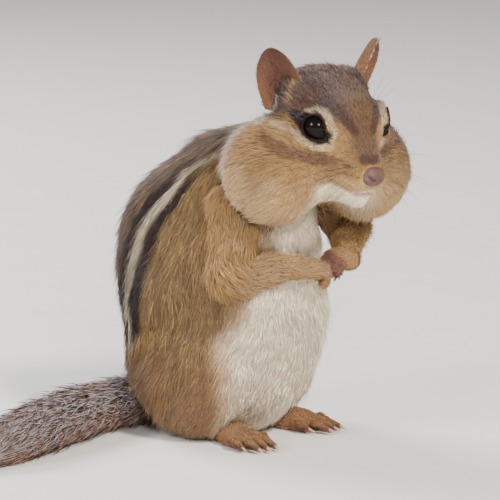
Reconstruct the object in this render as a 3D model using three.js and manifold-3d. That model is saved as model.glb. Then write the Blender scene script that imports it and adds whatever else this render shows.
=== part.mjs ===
// A life-size eastern chipmunk that sits up on its haunches with full cheek pouches, its forepaws held together at
// its chest and its bushy tail laid round to its right. Millimetres, +Z up, the body faces -Y and +X is the animal's
// left. The origin is on the floor under the middle of the body.
import * as THREE from 'three';
import { ParametricGeometry } from 'three/addons/geometries/ParametricGeometry.js';
import { mergeVertices } from 'three/addons/utils/BufferGeometryUtils.js';
import Module from 'manifold-3d';

const wasm = await Module();
wasm.setup();

const GAP = 0.3; // between pieces that touch
const RIGHT = -1; // sides of the animal, as signs of X
const LEFT = 1;
const SIDE_NAME = { [RIGHT]: 'right', [LEFT]: 'left' };

// The head: where the point midway between the eyes is held, and how the head is turned, in degrees
const EYES_AT = [-6.2, -47.8, 97.3];
const HEAD_YAW = -18; // towards the animal's right
const HEAD_PITCH = 16; // nose down

// Sizes in the head's own frame, whose origin is midway between the eyes and whose muzzle points to -Y
const EYE = { out: 10, ahead: 0.8, radius: 4.7 };
const LID = { opening: [4.25, 3.95], corner: 1.5, radius: 0.7, depth: 3.6, flare: 1.7 };
const EYE_LOOK = [0.86, -0.42, 0.2]; // the way an eye faces, for the left eye
const POUCH = { radii: [13.5, 15.5, 15.5], at: { [RIGHT]: [-16, 9, -17.6], [LEFT]: [16.6, 8.2, -19.2] } };
const POUCH_ROOM = { radii: [18, 21, 20], beyond: [7.5, 2.5, -2.5] }; // what the pouch's own piece takes of the head
const NOSE = { at: [0, -16.6, -9.9], radii: [3.2, 2.5, 2.7] };
const NOSTRIL = { from: [1.1, -2.2, -0.9], to: [3.1, -0.9, 0.5], halfWidths: [0.7, 0.5], halfHeights: [0.5, 0.4] };
const MOUTH = { height: -15.9, halfWidth: 6.2, droop: 1.6, cut: [1.1, 0.45], lip: { drop: 1.55, radius: 1.05 } };
const EAR = { at: [11.6, 14, 2.2], rise: [8, 1.8, 16.2], width: 13, depth: 1.1, cup: 4, sunk: 0.24 };

// Forelegs, from shoulder to knuckles, for each side
const FORELEG = {
  [RIGHT]: { shoulder: [-16, -17, 72], elbow: [-24, -20, 53], wrist: [-9.5, -33, 54], knuckles: [-4.6, -36.8, 53] },
  [LEFT]: { shoulder: [15.5, -19, 72], elbow: [23.5, -29, 62], wrist: [10, -38.4, 54.4], knuckles: [5, -39, 54.8] },
};
const ARM_RADII = [7.2, 5.4, 3.5]; // at the shoulder, elbow and wrist
const PAW = { width: 7.6, thickness: 5, fingerLength: 8, fingerRadius: 1.15, spread: 1.85, claw: 2.4 };

// Thighs and hind feet: the heel near the floor and the way the toes point, in degrees outward from straight ahead
const THIGH = { at: [18, -2, 21], radii: [10.5, 18.5, 20], lean: -10 };
const THIGH_ROOM = { at: [22, -3, 20], radii: [13, 21, 23.5] };
const FOOT = { length: 21.5, heelRadius: 4.2, ballRadius: 5.2, toeLength: 8.5, toeRadius: 1.55, claw: 3 };
const FOOT_AT = {
  [RIGHT]: { heel: [-12, -4, 3.4], toeOut: 17 },
  [LEFT]: { heel: [12, -4, 3.4], toeOut: 3 },
};

// The tail's middle line, with the half-width and half-height of its hair at each point
const TAIL_PATH = [
  { at: [0, 15, 8], half: [7, 7] },
  { at: [-9, 26, 7], half: [9, 7.4] },
  { at: [-24, 30, 6.6], half: [10.4, 7.3] },
  { at: [-41, 29.5, 6.5], half: [11, 7.1] },
  { at: [-57, 27.5, 6.2], half: [10.4, 6.7] },
  { at: [-71, 25, 5.2], half: [8.4, 5.6] },
  { at: [-84, 22.5, 3.4], half: [2.6, 2.4] },
];
const TAIL_CUTS = [0.36, 0.68]; // where the tail is parted, as shares of its length

// Fields: functions of a point that are negative inside a form, in millimetres

// An ellipsoid, leant about the X axis by an angle in degrees
function mass([cx, cy, cz], [rx, ry, rz], lean = 0) {
  const cosine = Math.cos(THREE.MathUtils.degToRad(lean));
  const sine = Math.sin(THREE.MathUtils.degToRad(lean));
  return (x, y, z) => {
    const across = (x - cx) / rx;
    const along = ((y - cy) * cosine + (z - cz) * sine) / ry;
    const rise = ((z - cz) * cosine - (y - cy) * sine) / rz;
    const near = Math.hypot(across, along, rise);
    const steep = Math.hypot(across / rx, along / ry, rise / rz);
    return steep > 1e-9 ? (near * (near - 1)) / steep : -Math.min(rx, ry, rz);
  };
}

// A limb that runs straight from one point to another, with a radius at each end
function limb([ax, ay, az], startRadius, [bx, by, bz], endRadius) {
  const [dx, dy, dz] = [bx - ax, by - ay, bz - az];
  const lengthSquared = dx * dx + dy * dy + dz * dz;
  return (x, y, z) => {
    const share = ((x - ax) * dx + (y - ay) * dy + (z - az) * dz) / lengthSquared;
    const t = Math.min(1, Math.max(0, share));
    const radius = startRadius + (endRadius - startRadius) * t;
    return Math.hypot(x - ax - dx * t, y - ay - dy * t, z - az - dz * t) - radius;
  };
}

// Several forms run together with a soft crease of about the given width
function join(crease, ...forms) {
  return (x, y, z) => {
    let inside = forms[0](x, y, z);
    for (let i = 1; i < forms.length; i += 1) {
      const other = forms[i](x, y, z);
      const meet = Math.max(crease - Math.abs(inside - other), 0) / crease;
      inside = Math.min(inside, other) - (meet * meet * crease) / 4;
    }
    return inside;
  };
}

const grown = (field, by) => (x, y, z) => field(x, y, z) - by;
const bothSides = (make) => [make(RIGHT), make(LEFT)];
const onSide = (side, [x, y, z]) => [side * x, y, z];

// The head's frame and the way from the room's frame into it
const headFrame = new THREE.Matrix4()
  .makeRotationFromEuler(
    new THREE.Euler(THREE.MathUtils.degToRad(HEAD_PITCH), 0, THREE.MathUtils.degToRad(HEAD_YAW), 'ZYX'),
  )
  .setPosition(...EYES_AT);

// Skull, brows, face, jaw and pouches, in the head's frame
const skull = join(
  5,
  mass([0, 9.5, 0.4], [12.8, 16.5, 12.6]),
  ...bothSides((side) => mass([side * 9, 12, 3.4], [5.7, 7.2, 8.2])),
  limb([0, 0, -1], 9.6, [0, -12.4, -9.2], 4.7),
  ...bothSides((side) => mass([side * 6.4, 1, -1.5], [4.6, 8, 6])),
  ...bothSides((side) => mass([side * 7.6, 3, -8.4], [5.5, 10, 7])),
  mass([0, 9, -14], [13, 14, 12]),
);
const lowerJaw = limb([0, 2, -17], 7.5, [0, -11.4, -18.2], 3.5);
const whiskerPads = join(2, ...bothSides((side) => mass([side * 3.5, -11, -11.6], [4.5, 5.6, 4.5])));
const pouches = bothSides((side) => mass(POUCH.at[side], POUCH.radii));
const headForm = join(9, join(3, join(5, skull, whiskerPads), lowerJaw), ...pouches);

// Trunk, neck and thighs, in the room's frame
const trunkForm = join(
  9,
  mass([0, 2, 20], [25, 25.5, 22]),
  mass([0, -1.5, 38], [28, 32.4, 36]),
  mass([0, 5, 55], [24.5, 27.4, 28.6]),
  mass([0, -12, 62], [20, 18, 20]),
  mass([0, -4, 71], [19, 18.5, 16]),
  limb([0, -7, 77], 15, [-3, -31, 86], 14),
);
const thighs = bothSides((side) => mass(onSide(side, THIGH.at), THIGH.radii, THIGH.lean));
const bodyForm = join(5, trunkForm, ...thighs);

// Meshes

// A closed solid from a geometry: its seams are welded, faces that collapse to a line are dropped and the rest are
// turned to point outwards
function solidOf(geometry) {
  const bare = new THREE.BufferGeometry()
    .setAttribute('position', geometry.getAttribute('position'))
    .setIndex(geometry.index);
  const welded = mergeVertices(bare, 1e-4);
  const index = welded.index.array;
  const faces = [];
  for (let i = 0; i < index.length; i += 3) {
    const [a, b, c] = [index[i], index[i + 1], index[i + 2]];
    if (a !== b && b !== c && a !== c) faces.push(a, b, c);
  }
  const make = (triangles) =>
    new wasm.Manifold(
      new wasm.Mesh({
        numProp: 3,
        vertProperties: new Float32Array(welded.attributes.position.array),
        triVerts: new Uint32Array(triangles),
      }),
    );
  const solid = make(faces);
  return solid.volume() > 0 ? solid : make(faces.reverse());
}

// Only the largest closed surface of a solid
function largest(solid) {
  return solid.decompose().reduce((a, b) => (a.volume() > b.volume() ? a : b));
}

// A repeatable draw of numbers between 0 and 1
function seeded(seed) {
  let state = seed;
  return () => {
    state = (state * 48271) % 2147483647;
    return state / 2147483647;
  };
}

const fuse = (...solids) => solids.reduce((whole, next) => whole.add(next));
const cut = (solid, ...tools) => largest(tools.reduce((rest, tool) => rest.subtract(tool), solid));

// Grid lines from one position to another, with a step that runs smoothly between [position, step] knots
function gridLines(...knots) {
  const lines = [knots[0][0]];
  for (let k = 1; k < knots.length; k += 1) {
    const [from, stepFrom] = knots[k - 1];
    const [to, stepTo] = knots[k];
    const count = Math.max(1, Math.round((2 * (to - from)) / (stepFrom + stepTo)));
    for (let i = 1; i <= count; i += 1) {
      const t = i / count;
      const eased = (2 * stepFrom * t + (stepTo - stepFrom) * t * t) / (stepFrom + stepTo);
      lines.push(from + (to - from) * eased);
    }
  }
  return lines;
}

// The closed surface where a field is zero: one point in each grid cell that the surface crosses, moved onto the
// surface, and one quad round each grid edge that it crosses
function skinOf(field, [xs, ys, zs]) {
  const [nx, ny, nz] = [xs.length, ys.length, zs.length];
  const at = (i, j, k) => (i * ny + j) * nz + k;
  const values = new Float64Array(nx * ny * nz);
  for (let i = 0; i < nx; i += 1) {
    for (let j = 0; j < ny; j += 1) {
      for (let k = 0; k < nz; k += 1) values[at(i, j, k)] = field(xs[i], ys[j], zs[k]);
    }
  }
  const points = [];
  const pointIn = new Int32Array(values.length).fill(-1);
  const steps = [0, 1];
  for (let i = 0; i + 1 < nx; i += 1) {
    for (let j = 0; j + 1 < ny; j += 1) {
      for (let k = 0; k + 1 < nz; k += 1) {
        const corners = [];
        for (const a of steps) for (const b of steps) for (const c of steps) corners.push([i + a, j + b, k + c]);
        const inside = corners.map((c) => values[at(...c)] < 0);
        if (inside.every((v) => v === inside[0])) continue;
        pointIn[at(i, j, k)] = points.length / 3;
        points.push(...cellPoint(field, corners, values, at, [xs, ys, zs]));
      }
    }
  }
  const faces = [];
  const distance = (p, q) =>
    Math.hypot(...[0, 1, 2].map((n) => points[3 * p + n] - points[3 * q + n]));
  const addQuad = (a, b, c, d, flip) => {
    const [p, q, r, s] = flip ? [d, c, b, a] : [a, b, c, d];
    if (distance(p, r) < distance(q, s)) faces.push(p, q, r, p, r, s);
    else faces.push(p, q, s, q, r, s);
  };
  for (let i = 1; i + 1 < nx; i += 1) {
    for (let j = 1; j + 1 < ny; j += 1) {
      for (let k = 1; k + 1 < nz; k += 1) {
        const cell = (di, dj, dk) => pointIn[at(i - di, j - dj, k - dk)];
        const here = values[at(i, j, k)] < 0;
        if (here !== values[at(i + 1, j, k)] < 0) {
          addQuad(cell(0, 1, 1), cell(0, 0, 1), cell(0, 0, 0), cell(0, 1, 0), !here);
        }
        if (here !== values[at(i, j + 1, k)] < 0) {
          addQuad(cell(1, 0, 1), cell(1, 0, 0), cell(0, 0, 0), cell(0, 0, 1), !here);
        }
        if (here !== values[at(i, j, k + 1)] < 0) {
          addQuad(cell(1, 1, 0), cell(0, 1, 0), cell(0, 0, 0), cell(1, 0, 0), !here);
        }
      }
    }
  }
  const geometry = new THREE.BufferGeometry()
    .setAttribute('position', new THREE.Float32BufferAttribute(points, 3))
    .setIndex(faces);
  return solidOf(geometry);
}

// The mean of a cell's edge crossings, then two steps down the field's slope, kept near the cell
function cellPoint(field, corners, values, at, [xs, ys, zs]) {
  const place = corners.map(([i, j, k]) => [xs[i], ys[j], zs[k]]);
  const value = corners.map((c) => values[at(...c)]);
  const sum = [0, 0, 0];
  let crossings = 0;
  for (let a = 0; a < 8; a += 1) {
    for (const bit of [1, 2, 4]) {
      const b = a | bit;
      if (b === a || value[a] < 0 === value[b] < 0) continue;
      const t = value[a] / (value[a] - value[b]);
      for (let n = 0; n < 3; n += 1) sum[n] += place[a][n] + (place[b][n] - place[a][n]) * t;
      crossings += 1;
    }
  }
  const point = sum.map((s) => s / crossings);
  const reach = Math.min(...[0, 1, 2].map((n) => place[7][n] - place[0][n])) / 2;
  const h = 0.02;
  for (let step = 0; step < 2; step += 1) {
    const [x, y, z] = point;
    const f = field(x, y, z);
    const slope = [
      (field(x + h, y, z) - f) / h,
      (field(x, y + h, z) - f) / h,
      (field(x, y, z + h) - f) / h,
    ];
    const steep = slope[0] ** 2 + slope[1] ** 2 + slope[2] ** 2;
    if (steep < 1e-6) break;
    const move = Math.max(-reach, Math.min(reach, f / Math.sqrt(steep)));
    for (let n = 0; n < 3; n += 1) point[n] -= (move * slope[n]) / Math.sqrt(steep);
  }
  return point;
}

// A closed surface over a grid of stations: place(angle, along) gives a point from an angle in turns and a share
function sheath(place, around, along) {
  const put = (u, v, target) => target.set(...place(u, v));
  return solidOf(new ParametricGeometry(put, around, along));
}

// A round-ended sleeve along a smooth path, with [half-width, half-height] sections that turn their height to `up`
function sleeve({ path, radii, up = [0, 0, 1], around = 10, along = 6, cap = 2, grow = 0 }) {
  const line = new THREE.CatmullRomCurve3(path.map((p) => new THREE.Vector3(...p)), false, 'centripetal');
  const size = new THREE.CatmullRomCurve3(radii.map(([a, b]) => new THREE.Vector3(a, b, 0)), false, 'centripetal');
  const upward = new THREE.Vector3(...up);
  const stations = along + 2 * cap; // `cap` of them in each rounded end
  return sheath(
    (u, v) => {
      const k = v * stations;
      const t = THREE.MathUtils.clamp((k - cap) / along, 0, 1);
      const endTurn = Math.max(cap - k, k - cap - along, 0) / cap;
      const swell = Math.cos((endTurn * Math.PI) / 2);
      const tangent = line.getTangent(t);
      const side = new THREE.Vector3().crossVectors(tangent, upward).normalize();
      const top = new THREE.Vector3().crossVectors(side, tangent);
      const { x: wide, y: high } = size.getPoint(t);
      const reach = (Math.min(wide, high) + grow) * Math.sin((endTurn * Math.PI) / 2) * (k < cap ? -1 : 1);
      const point = line
        .getPoint(t)
        .addScaledVector(tangent, reach)
        .addScaledVector(side, (wide + grow) * swell * Math.cos(2 * Math.PI * u))
        .addScaledVector(top, (high + grow) * swell * Math.sin(2 * Math.PI * u));
      return point.toArray();
    },
    around,
    stations,
  );
}

// A ball or egg
function egg(at, [rx, ry, rz], around = 16, along = 12) {
  const geometry = new THREE.SphereGeometry(1, around, along);
  geometry.scale(rx, ry, rz);
  geometry.translate(...at);
  return solidOf(geometry);
}
const grownEgg = (at, radii, ...rest) => egg(at, radii.map((r) => r + GAP), ...rest);

// Head: skull, face and pouches in one surface
const HEAD_GRID = [
  gridLines([-38, 5], [-15, 3], [0, 2.2], [15, 3], [38, 5]),
  gridLines([-23, 2], [-5, 2.5], [8, 4.2], [37, 5]),
  gridLines([-44, 5], [-18, 3], [-10, 2.2], [2, 2.5], [20, 4]),
];
const headWhole = skinOf(headForm, HEAD_GRID);
const headGrown = skinOf(grown(headForm, GAP), HEAD_GRID);

const eyeAt = (side) => [side * EYE.out, -EYE.ahead, 0];

// A lid ring: an almond round the eye, on the eyeball's surface, with its front corner drawn down to the muzzle
function lidRing(side) {
  const look = new THREE.Vector3(...onSide(side, EYE_LOOK)).normalize();
  const forward = new THREE.Vector3(0, -1, -0.55).projectOnPlane(look).normalize();
  const upward = new THREE.Vector3().crossVectors(forward, look).multiplyScalar(side);
  if (upward.z < 0) upward.negate();
  const orbit = EYE.radius + GAP + LID.radius / 2;
  const centre = new THREE.Vector3(...eyeAt(side));
  const rim = (turn) => {
    const angle = 2 * Math.PI * turn;
    const corner = LID.corner * Math.max(0, Math.cos(angle)) ** 6;
    const ahead = LID.opening[0] * Math.cos(angle);
    const above = LID.opening[1] * Math.sin(angle);
    const inward = Math.sqrt(Math.max(0, orbit ** 2 - ahead ** 2 - above ** 2));
    return centre
      .clone()
      .addScaledVector(forward, ahead + corner)
      .addScaledVector(upward, above)
      .addScaledVector(look, inward - corner * 0.6);
  };
  return sheath(
    (u, v) => {
      const here = rim(v);
      const along = rim(v + 0.01).sub(rim(v - 0.01)).normalize();
      const out = here.clone().sub(centre).projectOnPlane(along).normalize();
      const rise = Math.sin(2 * Math.PI * u);
      const flare = LID.flare * Math.max(0, -rise);
      return here
        .addScaledVector(out, LID.radius * Math.cos(2 * Math.PI * u) + flare)
        .addScaledVector(look, rise > 0 ? LID.radius * rise : LID.depth * rise)
        .toArray();
    },
    6,
    16,
  );
}

// Where the face's surface is, straight ahead of a point of the mouth
function faceAhead(x, z) {
  let [outside, inside] = [-24, -4];
  for (let step = 0; step < 20; step += 1) {
    const middle = (outside + inside) / 2;
    if (headForm(x, middle, z) > 0) outside = middle;
    else inside = middle;
  }
  return outside;
}

// A line along the mouth, on the face's surface: straight at the middle, its corners drawn down
function mouthCurve(drop) {
  return [-1, -0.65, -0.3, 0, 0.3, 0.65, 1].map((share) => {
    const x = MOUTH.halfWidth * share;
    const z = MOUTH.height - drop - MOUTH.droop * share * share;
    return [x, faceAhead(x, z), z];
  });
}
const lipSections = [0.5, 0.9, 1, 0.9, 0.5].map((share) => Array(2).fill(share * MOUTH.lip.radius));
const lowerLip = sleeve({ path: mouthCurve(MOUTH.lip.drop), radii: lipSections, around: 6, along: 8, cap: 1 });
const mouthLine = sleeve({ path: mouthCurve(0), radii: [MOUTH.cut, MOUTH.cut], around: 6, along: 8, cap: 1 });

function pouchRoom(side, shape) {
  const centre = POUCH.at[side].map((c, n) => c + onSide(side, POUCH_ROOM.beyond)[n]);
  return shape(centre, POUCH_ROOM.radii, 20, 12);
}

const headSolid = cut(
  fuse(headWhole, ...bothSides(lidRing), lowerLip),
  mouthLine,
  grownEgg(NOSE.at, NOSE.radii),
  ...bothSides((side) => grownEgg(eyeAt(side), Array(3).fill(EYE.radius), 14, 10)),
  ...bothSides((side) => pouchRoom(side, grownEgg)),
);
const pouchSolid = (side) => largest(headWhole.intersect(pouchRoom(side, egg)));
const eyeSolid = (side) => egg(eyeAt(side), Array(3).fill(EYE.radius), 14, 10);

function noseSolid() {
  const nostril = (side) => {
    const path = [NOSTRIL.from, NOSTRIL.to].map((place) => onSide(side, place).map((c, n) => c + NOSE.at[n]));
    const radii = NOSTRIL.halfWidths.map((wide, n) => [wide, NOSTRIL.halfHeights[n]]);
    return sleeve({ path, radii, around: 6, along: 1, cap: 1 });
  };
  return cut(egg(NOSE.at, NOSE.radii, 14, 8), ...bothSides(nostril));
}

// An ear: a thin cup that widens from its root, then rounds off to its tip, its edges curled forward
function earSolid(side) {
  const root = new THREE.Vector3(...onSide(side, EAR.at));
  const rise = new THREE.Vector3(...onSide(side, EAR.rise));
  const length = rise.length();
  const upward = rise.clone().normalize();
  const facing = new THREE.Vector3(side * 0.62, -0.78, 0).projectOnPlane(upward).normalize();
  const across = new THREE.Vector3().crossVectors(upward, facing);
  const halfWidth = (t) => (EAR.width / 2) * Math.sqrt(Math.max(0, 1 - Math.max(0, (t - 0.3) / 0.7) ** 2.2));
  return cut(
    sheath(
      (u, v) => {
        const t = (1 + EAR.sunk) * Math.sin((v * Math.PI) / 2) - EAR.sunk;
        const angle = 2 * Math.PI * u;
        const s = Math.cos(angle);
        const closeEnds = Math.min(1, v * 8) * (v > 0 ? 1 : 0);
        const wide = halfWidth(t) * closeEnds;
        const curl = EAR.cup * (wide / (EAR.width / 2)) * (s * s - 0.35);
        const thick = (EAR.depth / 2 + 0.5 * Math.max(0, 0.35 - t)) * Math.sin(angle) * Math.min(1, wide / 2);
        return root
          .clone()
          .addScaledVector(upward, length * t)
          .addScaledVector(across, wide * s)
          .addScaledVector(facing, curl + thick)
          .toArray();
      },
      16,
      8,
    ),
    headGrown,
  );
}

// Forelegs: an upper arm and a forearm that meet round the elbow, and a paw with four clawed fingers
function armSolid(side, grow = 0) {
  const { shoulder, elbow, wrist } = FORELEG[side];
  const [atShoulder, atElbow, atWrist] = ARM_RADII;
  const length = (from, to, start, end, along) =>
    sleeve({ path: [from, to], radii: [[start, start], [end, end]], up: [0.2, -1, 0.3], around: 10, along, grow });
  return fuse(length(shoulder, elbow, atShoulder, atElbow, 3), length(elbow, wrist, atElbow, atWrist, 2));
}

function pawSolid(side, grow = 0) {
  const wrist = new THREE.Vector3(...FORELEG[side].wrist);
  const knuckles = new THREE.Vector3(...FORELEG[side].knuckles);
  const ahead = knuckles.clone().sub(wrist).normalize();
  const back = new THREE.Vector3(0, -0.5, 0.87).projectOnPlane(ahead).normalize();
  const across = new THREE.Vector3().crossVectors(ahead, back);
  const palm = sleeve({
    path: [wrist.toArray(), knuckles.toArray()],
    radii: [[3.2, 2.9], [PAW.width / 2, PAW.thickness / 2]],
    up: back.toArray(),
    around: 9,
    along: 2,
    grow,
  });
  const digit = (i) => {
    const spread = (i - 1.5) * PAW.spread;
    const length = PAW.fingerLength * (1 - 0.1 * Math.abs(i - 1.4));
    const point = (forward, rise) =>
      knuckles
        .clone()
        .addScaledVector(ahead, forward)
        .addScaledVector(back, rise)
        .addScaledVector(across, spread * (1 + forward * 0.02))
        .toArray();
    const finger = sleeve({
      path: [
        point(-1, 0.6),
        point(length * 0.34, 0.5),
        point(length * 0.52, -length * 0.3),
        point(length * 0.4, -length * 0.62),
      ],
      radii: [1, 1, 0.95, 0.75].map((r) => [r * PAW.fingerRadius, r * PAW.fingerRadius]),
      up: across.toArray(),
      around: 5,
      along: 3,
      cap: 1,
      grow,
    });
    const claw = sleeve({
      path: [point(length * 0.42, -length * 0.56), point(length * 0.34, -length * 0.56 - PAW.claw)],
      radii: [[0.5, 0.5], [0.25, 0.25]],
      up: across.toArray(),
      around: 4,
      along: 1,
      cap: 1,
      grow,
    });
    return fuse(finger, claw);
  };
  return fuse(palm, ...[0, 1, 2, 3].map(digit));
}

// Hind feet: a long sole with five clawed toes, flat where it meets the floor
function footSolid(side, grow = 0) {
  const { heel, toeOut } = FOOT_AT[side];
  const turn = THREE.MathUtils.degToRad(toeOut);
  const ahead = new THREE.Vector3(side * Math.sin(turn), -Math.cos(turn), 0);
  const across = new THREE.Vector3(side * Math.cos(turn), Math.sin(turn), 0);
  const at = (forward, sideways, z) =>
    new THREE.Vector3(heel[0], heel[1], z).addScaledVector(ahead, forward).addScaledVector(across, sideways).toArray();
  const ball = FOOT.length - 2;
  const sole = sleeve({
    path: [at(0, 0, 4), at(ball * 0.45, 0, 3.6), at(ball * 0.8, 0, 3.2), at(ball, 0, 2.6)],
    radii: [[FOOT.heelRadius, 4.4], [4.4, 4.2], [FOOT.ballRadius, 3.8], [FOOT.ballRadius * 0.9, 2.8]],
    around: 10,
    along: 3,
    grow,
  });
  const toe = (i) => {
    const sideways = (i - 2) * 2.15;
    const length = FOOT.toeLength * (i === 0 ? 0.62 : i === 4 ? 0.72 : 1);
    const start = ball - (i === 0 || i === 4 ? 3.5 : 1);
    const splay = 1 + 0.035 * length;
    const body = sleeve({
      path: [
        at(start, sideways, 2.2),
        at(start + length * 0.5, sideways * splay, 3.1),
        at(start + length, sideways * splay, 1.5),
      ],
      radii: [1, 1, 0.82].map((r) => [r * FOOT.toeRadius, r * FOOT.toeRadius]),
      around: 6,
      along: 2,
      cap: 1,
      grow,
    });
    const claw = sleeve({
      path: [
        at(start + length, sideways * splay, 1.9),
        at(start + length + FOOT.claw * 0.6, sideways * splay, 1.9),
        at(start + length + FOOT.claw, sideways * splay, 0.9),
      ],
      radii: [[0.6, 0.7], [0.45, 0.55], [0.25, 0.25]],
      around: 4,
      along: 1,
      cap: 1,
      grow,
    });
    return fuse(body, claw);
  };
  return fuse(sole, ...[0, 1, 2, 3, 4].map(toe)).trimByPlane([0, 0, 1], 0);
}

// The tail: a core, and flat tapered locks of hair that leave it in rings and reach back to the outline
const TAIL_LOCKS = { rings: 6, around: 6, last: 0.8, reach: 0.27, halfWidth: 4.2, halfThickness: 1.5 };
const TAIL_CORE = 0.5; // half the way to the hair's tips
const TAIL_ROOM = 1.18; // the socket in the rump, as a share of the tail's outline
const tailLine = new THREE.CatmullRomCurve3(TAIL_PATH.map((p) => new THREE.Vector3(...p.at)), false, 'centripetal');
const tailHalf = new THREE.CatmullRomCurve3(
  TAIL_PATH.map((p) => new THREE.Vector3(...p.half, 0)),
  false,
  'centripetal',
);
const tailSpan = tailLine.getLength();

// A point of the tail: a share of its length, an angle round it and a share of the way out to its outline
function tailPoint(t, angle, out) {
  const held = THREE.MathUtils.clamp(t, 0, 1);
  const tangent = tailLine.getTangent(held);
  const side = new THREE.Vector3().crossVectors(tangent, new THREE.Vector3(0, 0, 1)).normalize();
  const top = new THREE.Vector3().crossVectors(side, tangent);
  const half = tailHalf.getPoint(held);
  return tailLine
    .getPoint(held)
    .addScaledVector(tangent, (t - held) * tailSpan)
    .addScaledVector(side, half.x * out * Math.cos(angle))
    .addScaledVector(top, half.y * out * Math.sin(angle));
}

function tailLock(t, angle, random) {
  const reach = TAIL_LOCKS.reach * (0.85 + 0.3 * random());
  const turn = 0.25 * (random() - 0.5);
  const width = TAIL_LOCKS.halfWidth * (0.85 + 0.3 * random());
  const outward = tailPoint(t, angle, 1).sub(tailPoint(t, angle, 0)).normalize();
  const stations = [[0, 0.15], [0.45, 0.62], [1, 1.04]];
  return sleeve({
    path: stations.map(([ahead, out]) => tailPoint(t + reach * ahead, angle + turn * ahead, out).toArray()),
    radii: [[0.7, 1], [1, 1], [0.2, 0.3]].map(([wide, high]) => [width * wide, TAIL_LOCKS.halfThickness * high]),
    up: outward.multiplyScalar(0.5).add(new THREE.Vector3(0, 0, 1)).toArray(),
    around: 4,
    along: 2,
    cap: 1,
  });
}

function wholeTail() {
  const random = seeded(7);
  const core = sleeve({
    path: TAIL_PATH.map((p) => p.at),
    radii: TAIL_PATH.map((p) => p.half.map((h) => h * TAIL_CORE)),
    around: 6,
    along: 7,
    cap: 1,
  });
  const locks = [];
  for (let ring = 0; ring < TAIL_LOCKS.rings; ring += 1) {
    const t = (TAIL_LOCKS.last * ring) / (TAIL_LOCKS.rings - 1);
    for (let k = 0; k < TAIL_LOCKS.around; k += 1) {
      const angle = (2 * Math.PI * (k + (ring % 2) / 2 + 0.25 * (random() - 0.5))) / TAIL_LOCKS.around;
      locks.push(tailLock(t + 0.02 * (random() - 0.5), angle, random));
    }
  }
  return fuse(core, ...locks).trimByPlane([0, 0, 1], 0);
}

// The tail between two shares of its length
const tailSolid = wholeTail();
function tailLength(from, to) {
  const plane = (t, sense) => {
    const normal = tailLine.getTangent(t).multiplyScalar(sense);
    return [normal.toArray(), normal.dot(tailLine.getPoint(t)) + GAP / 2];
  };
  const planes = [...(from > 0 ? [plane(from, 1)] : []), ...(to < 1 ? [plane(to, -1)] : [])];
  return largest(planes.reduce((solid, [normal, offset]) => solid.trimByPlane(normal, offset), tailSolid));
}

// The room that the tail's root takes in the rump
const tailRoom = sleeve({
  path: TAIL_PATH.slice(0, 3).map((p) => p.at),
  radii: TAIL_PATH.slice(0, 3).map((p) => p.half.map((h) => h * TAIL_ROOM)),
  around: 16,
  along: 5,
  grow: GAP,
});

// Trunk: the joined body, parted from the thighs and the neck, with sockets for the legs and the tail
const BODY_GRID = [
  gridLines([-52, 6.5], [52, 6.5]),
  gridLines([-62, 6.5], [49, 6.5]),
  gridLines([-16, 6.5], [120, 6.5]),
];
const bodyWhole = skinOf(bodyForm, BODY_GRID);
const headInRoom = headGrown.transform(headFrame.elements);
const NECK_AXIS = new THREE.Vector3(-0.05, -0.5, 0.86).normalize().toArray();
const NECK_OFFSET = 75;
const thighRoom = (side, shape) => shape(onSide(side, THIGH_ROOM.at), THIGH_ROOM.radii, 18, 12);
const feetGrown = bothSides((side) => footSolid(side, GAP));
const armsGrown = bothSides((side) => armSolid(side, GAP));
const neckSolid = cut(bodyWhole.trimByPlane(NECK_AXIS, NECK_OFFSET), headInRoom, ...armsGrown);
const torsoSolid = cut(
  bodyWhole.trimByPlane(NECK_AXIS.map((n) => -n), GAP - NECK_OFFSET).trimByPlane([0, 0, 1], 0),
  headInRoom,
  ...bothSides((side) => thighRoom(side, grownEgg)),
  ...armsGrown,
  ...feetGrown,
  tailRoom,
);
const thighSolid = (side) =>
  cut(
    bodyWhole.intersect(thighRoom(side, egg)).trimByPlane([0, 0, 1], 0),
    ...feetGrown,
    tailRoom,
    ...armsGrown,
  );

// The arm above and below a plane across its elbow, clear of the head
function armParts(side) {
  const { shoulder, elbow, wrist } = FORELEG[side];
  const across = new THREE.Vector3(...wrist).sub(new THREE.Vector3(...shoulder)).normalize();
  const offset = across.dot(new THREE.Vector3(...elbow));
  const whole = armSolid(side).subtract(headInRoom);
  const upper = largest(whole.trimByPlane(across.clone().negate().toArray(), -offset + GAP / 2));
  const lower = largest(whole.trimByPlane(across.toArray(), offset + GAP / 2));
  return { upper, lower };
}

// Finishes
const finish = (color, roughness = 0.9) => new THREE.MeshStandardMaterial({ color, roughness, metalness: 0 });
const FUR = {
  head: finish(0x8f6c4a),
  pouch: finish(0xcfa873),
  ear: finish(0x96684a),
  neck: finish(0xb48d62),
  torso: finish(0xb08a5e),
  thigh: finish(0xb98a55),
  arm: finish(0xb9874c),
  paw: finish(0xa87650),
  foot: finish(0xb37b46),
  tail: finish(0x7d6657),
};
const EYE_FINISH = finish(0x0d0a0a, 0.08);
const NOSE_FINISH = finish(0x8b5c55, 0.5);

function meshOf(name, solid, material) {
  const { numProp, numVert, vertProperties, triVerts } = solid.getMesh();
  const positions = new Float32Array(numVert * 3);
  for (let i = 0; i < numVert; i += 1) {
    positions.set(vertProperties.subarray(i * numProp, i * numProp + 3), i * 3);
  }
  const geometry = new THREE.BufferGeometry()
    .setAttribute('position', new THREE.BufferAttribute(positions, 3))
    .setIndex(new THREE.BufferAttribute(triVerts, 1))
    .toNonIndexed();
  geometry.computeVertexNormals();
  const mesh = new THREE.Mesh(geometry, material);
  mesh.name = name;
  return mesh;
}

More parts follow.
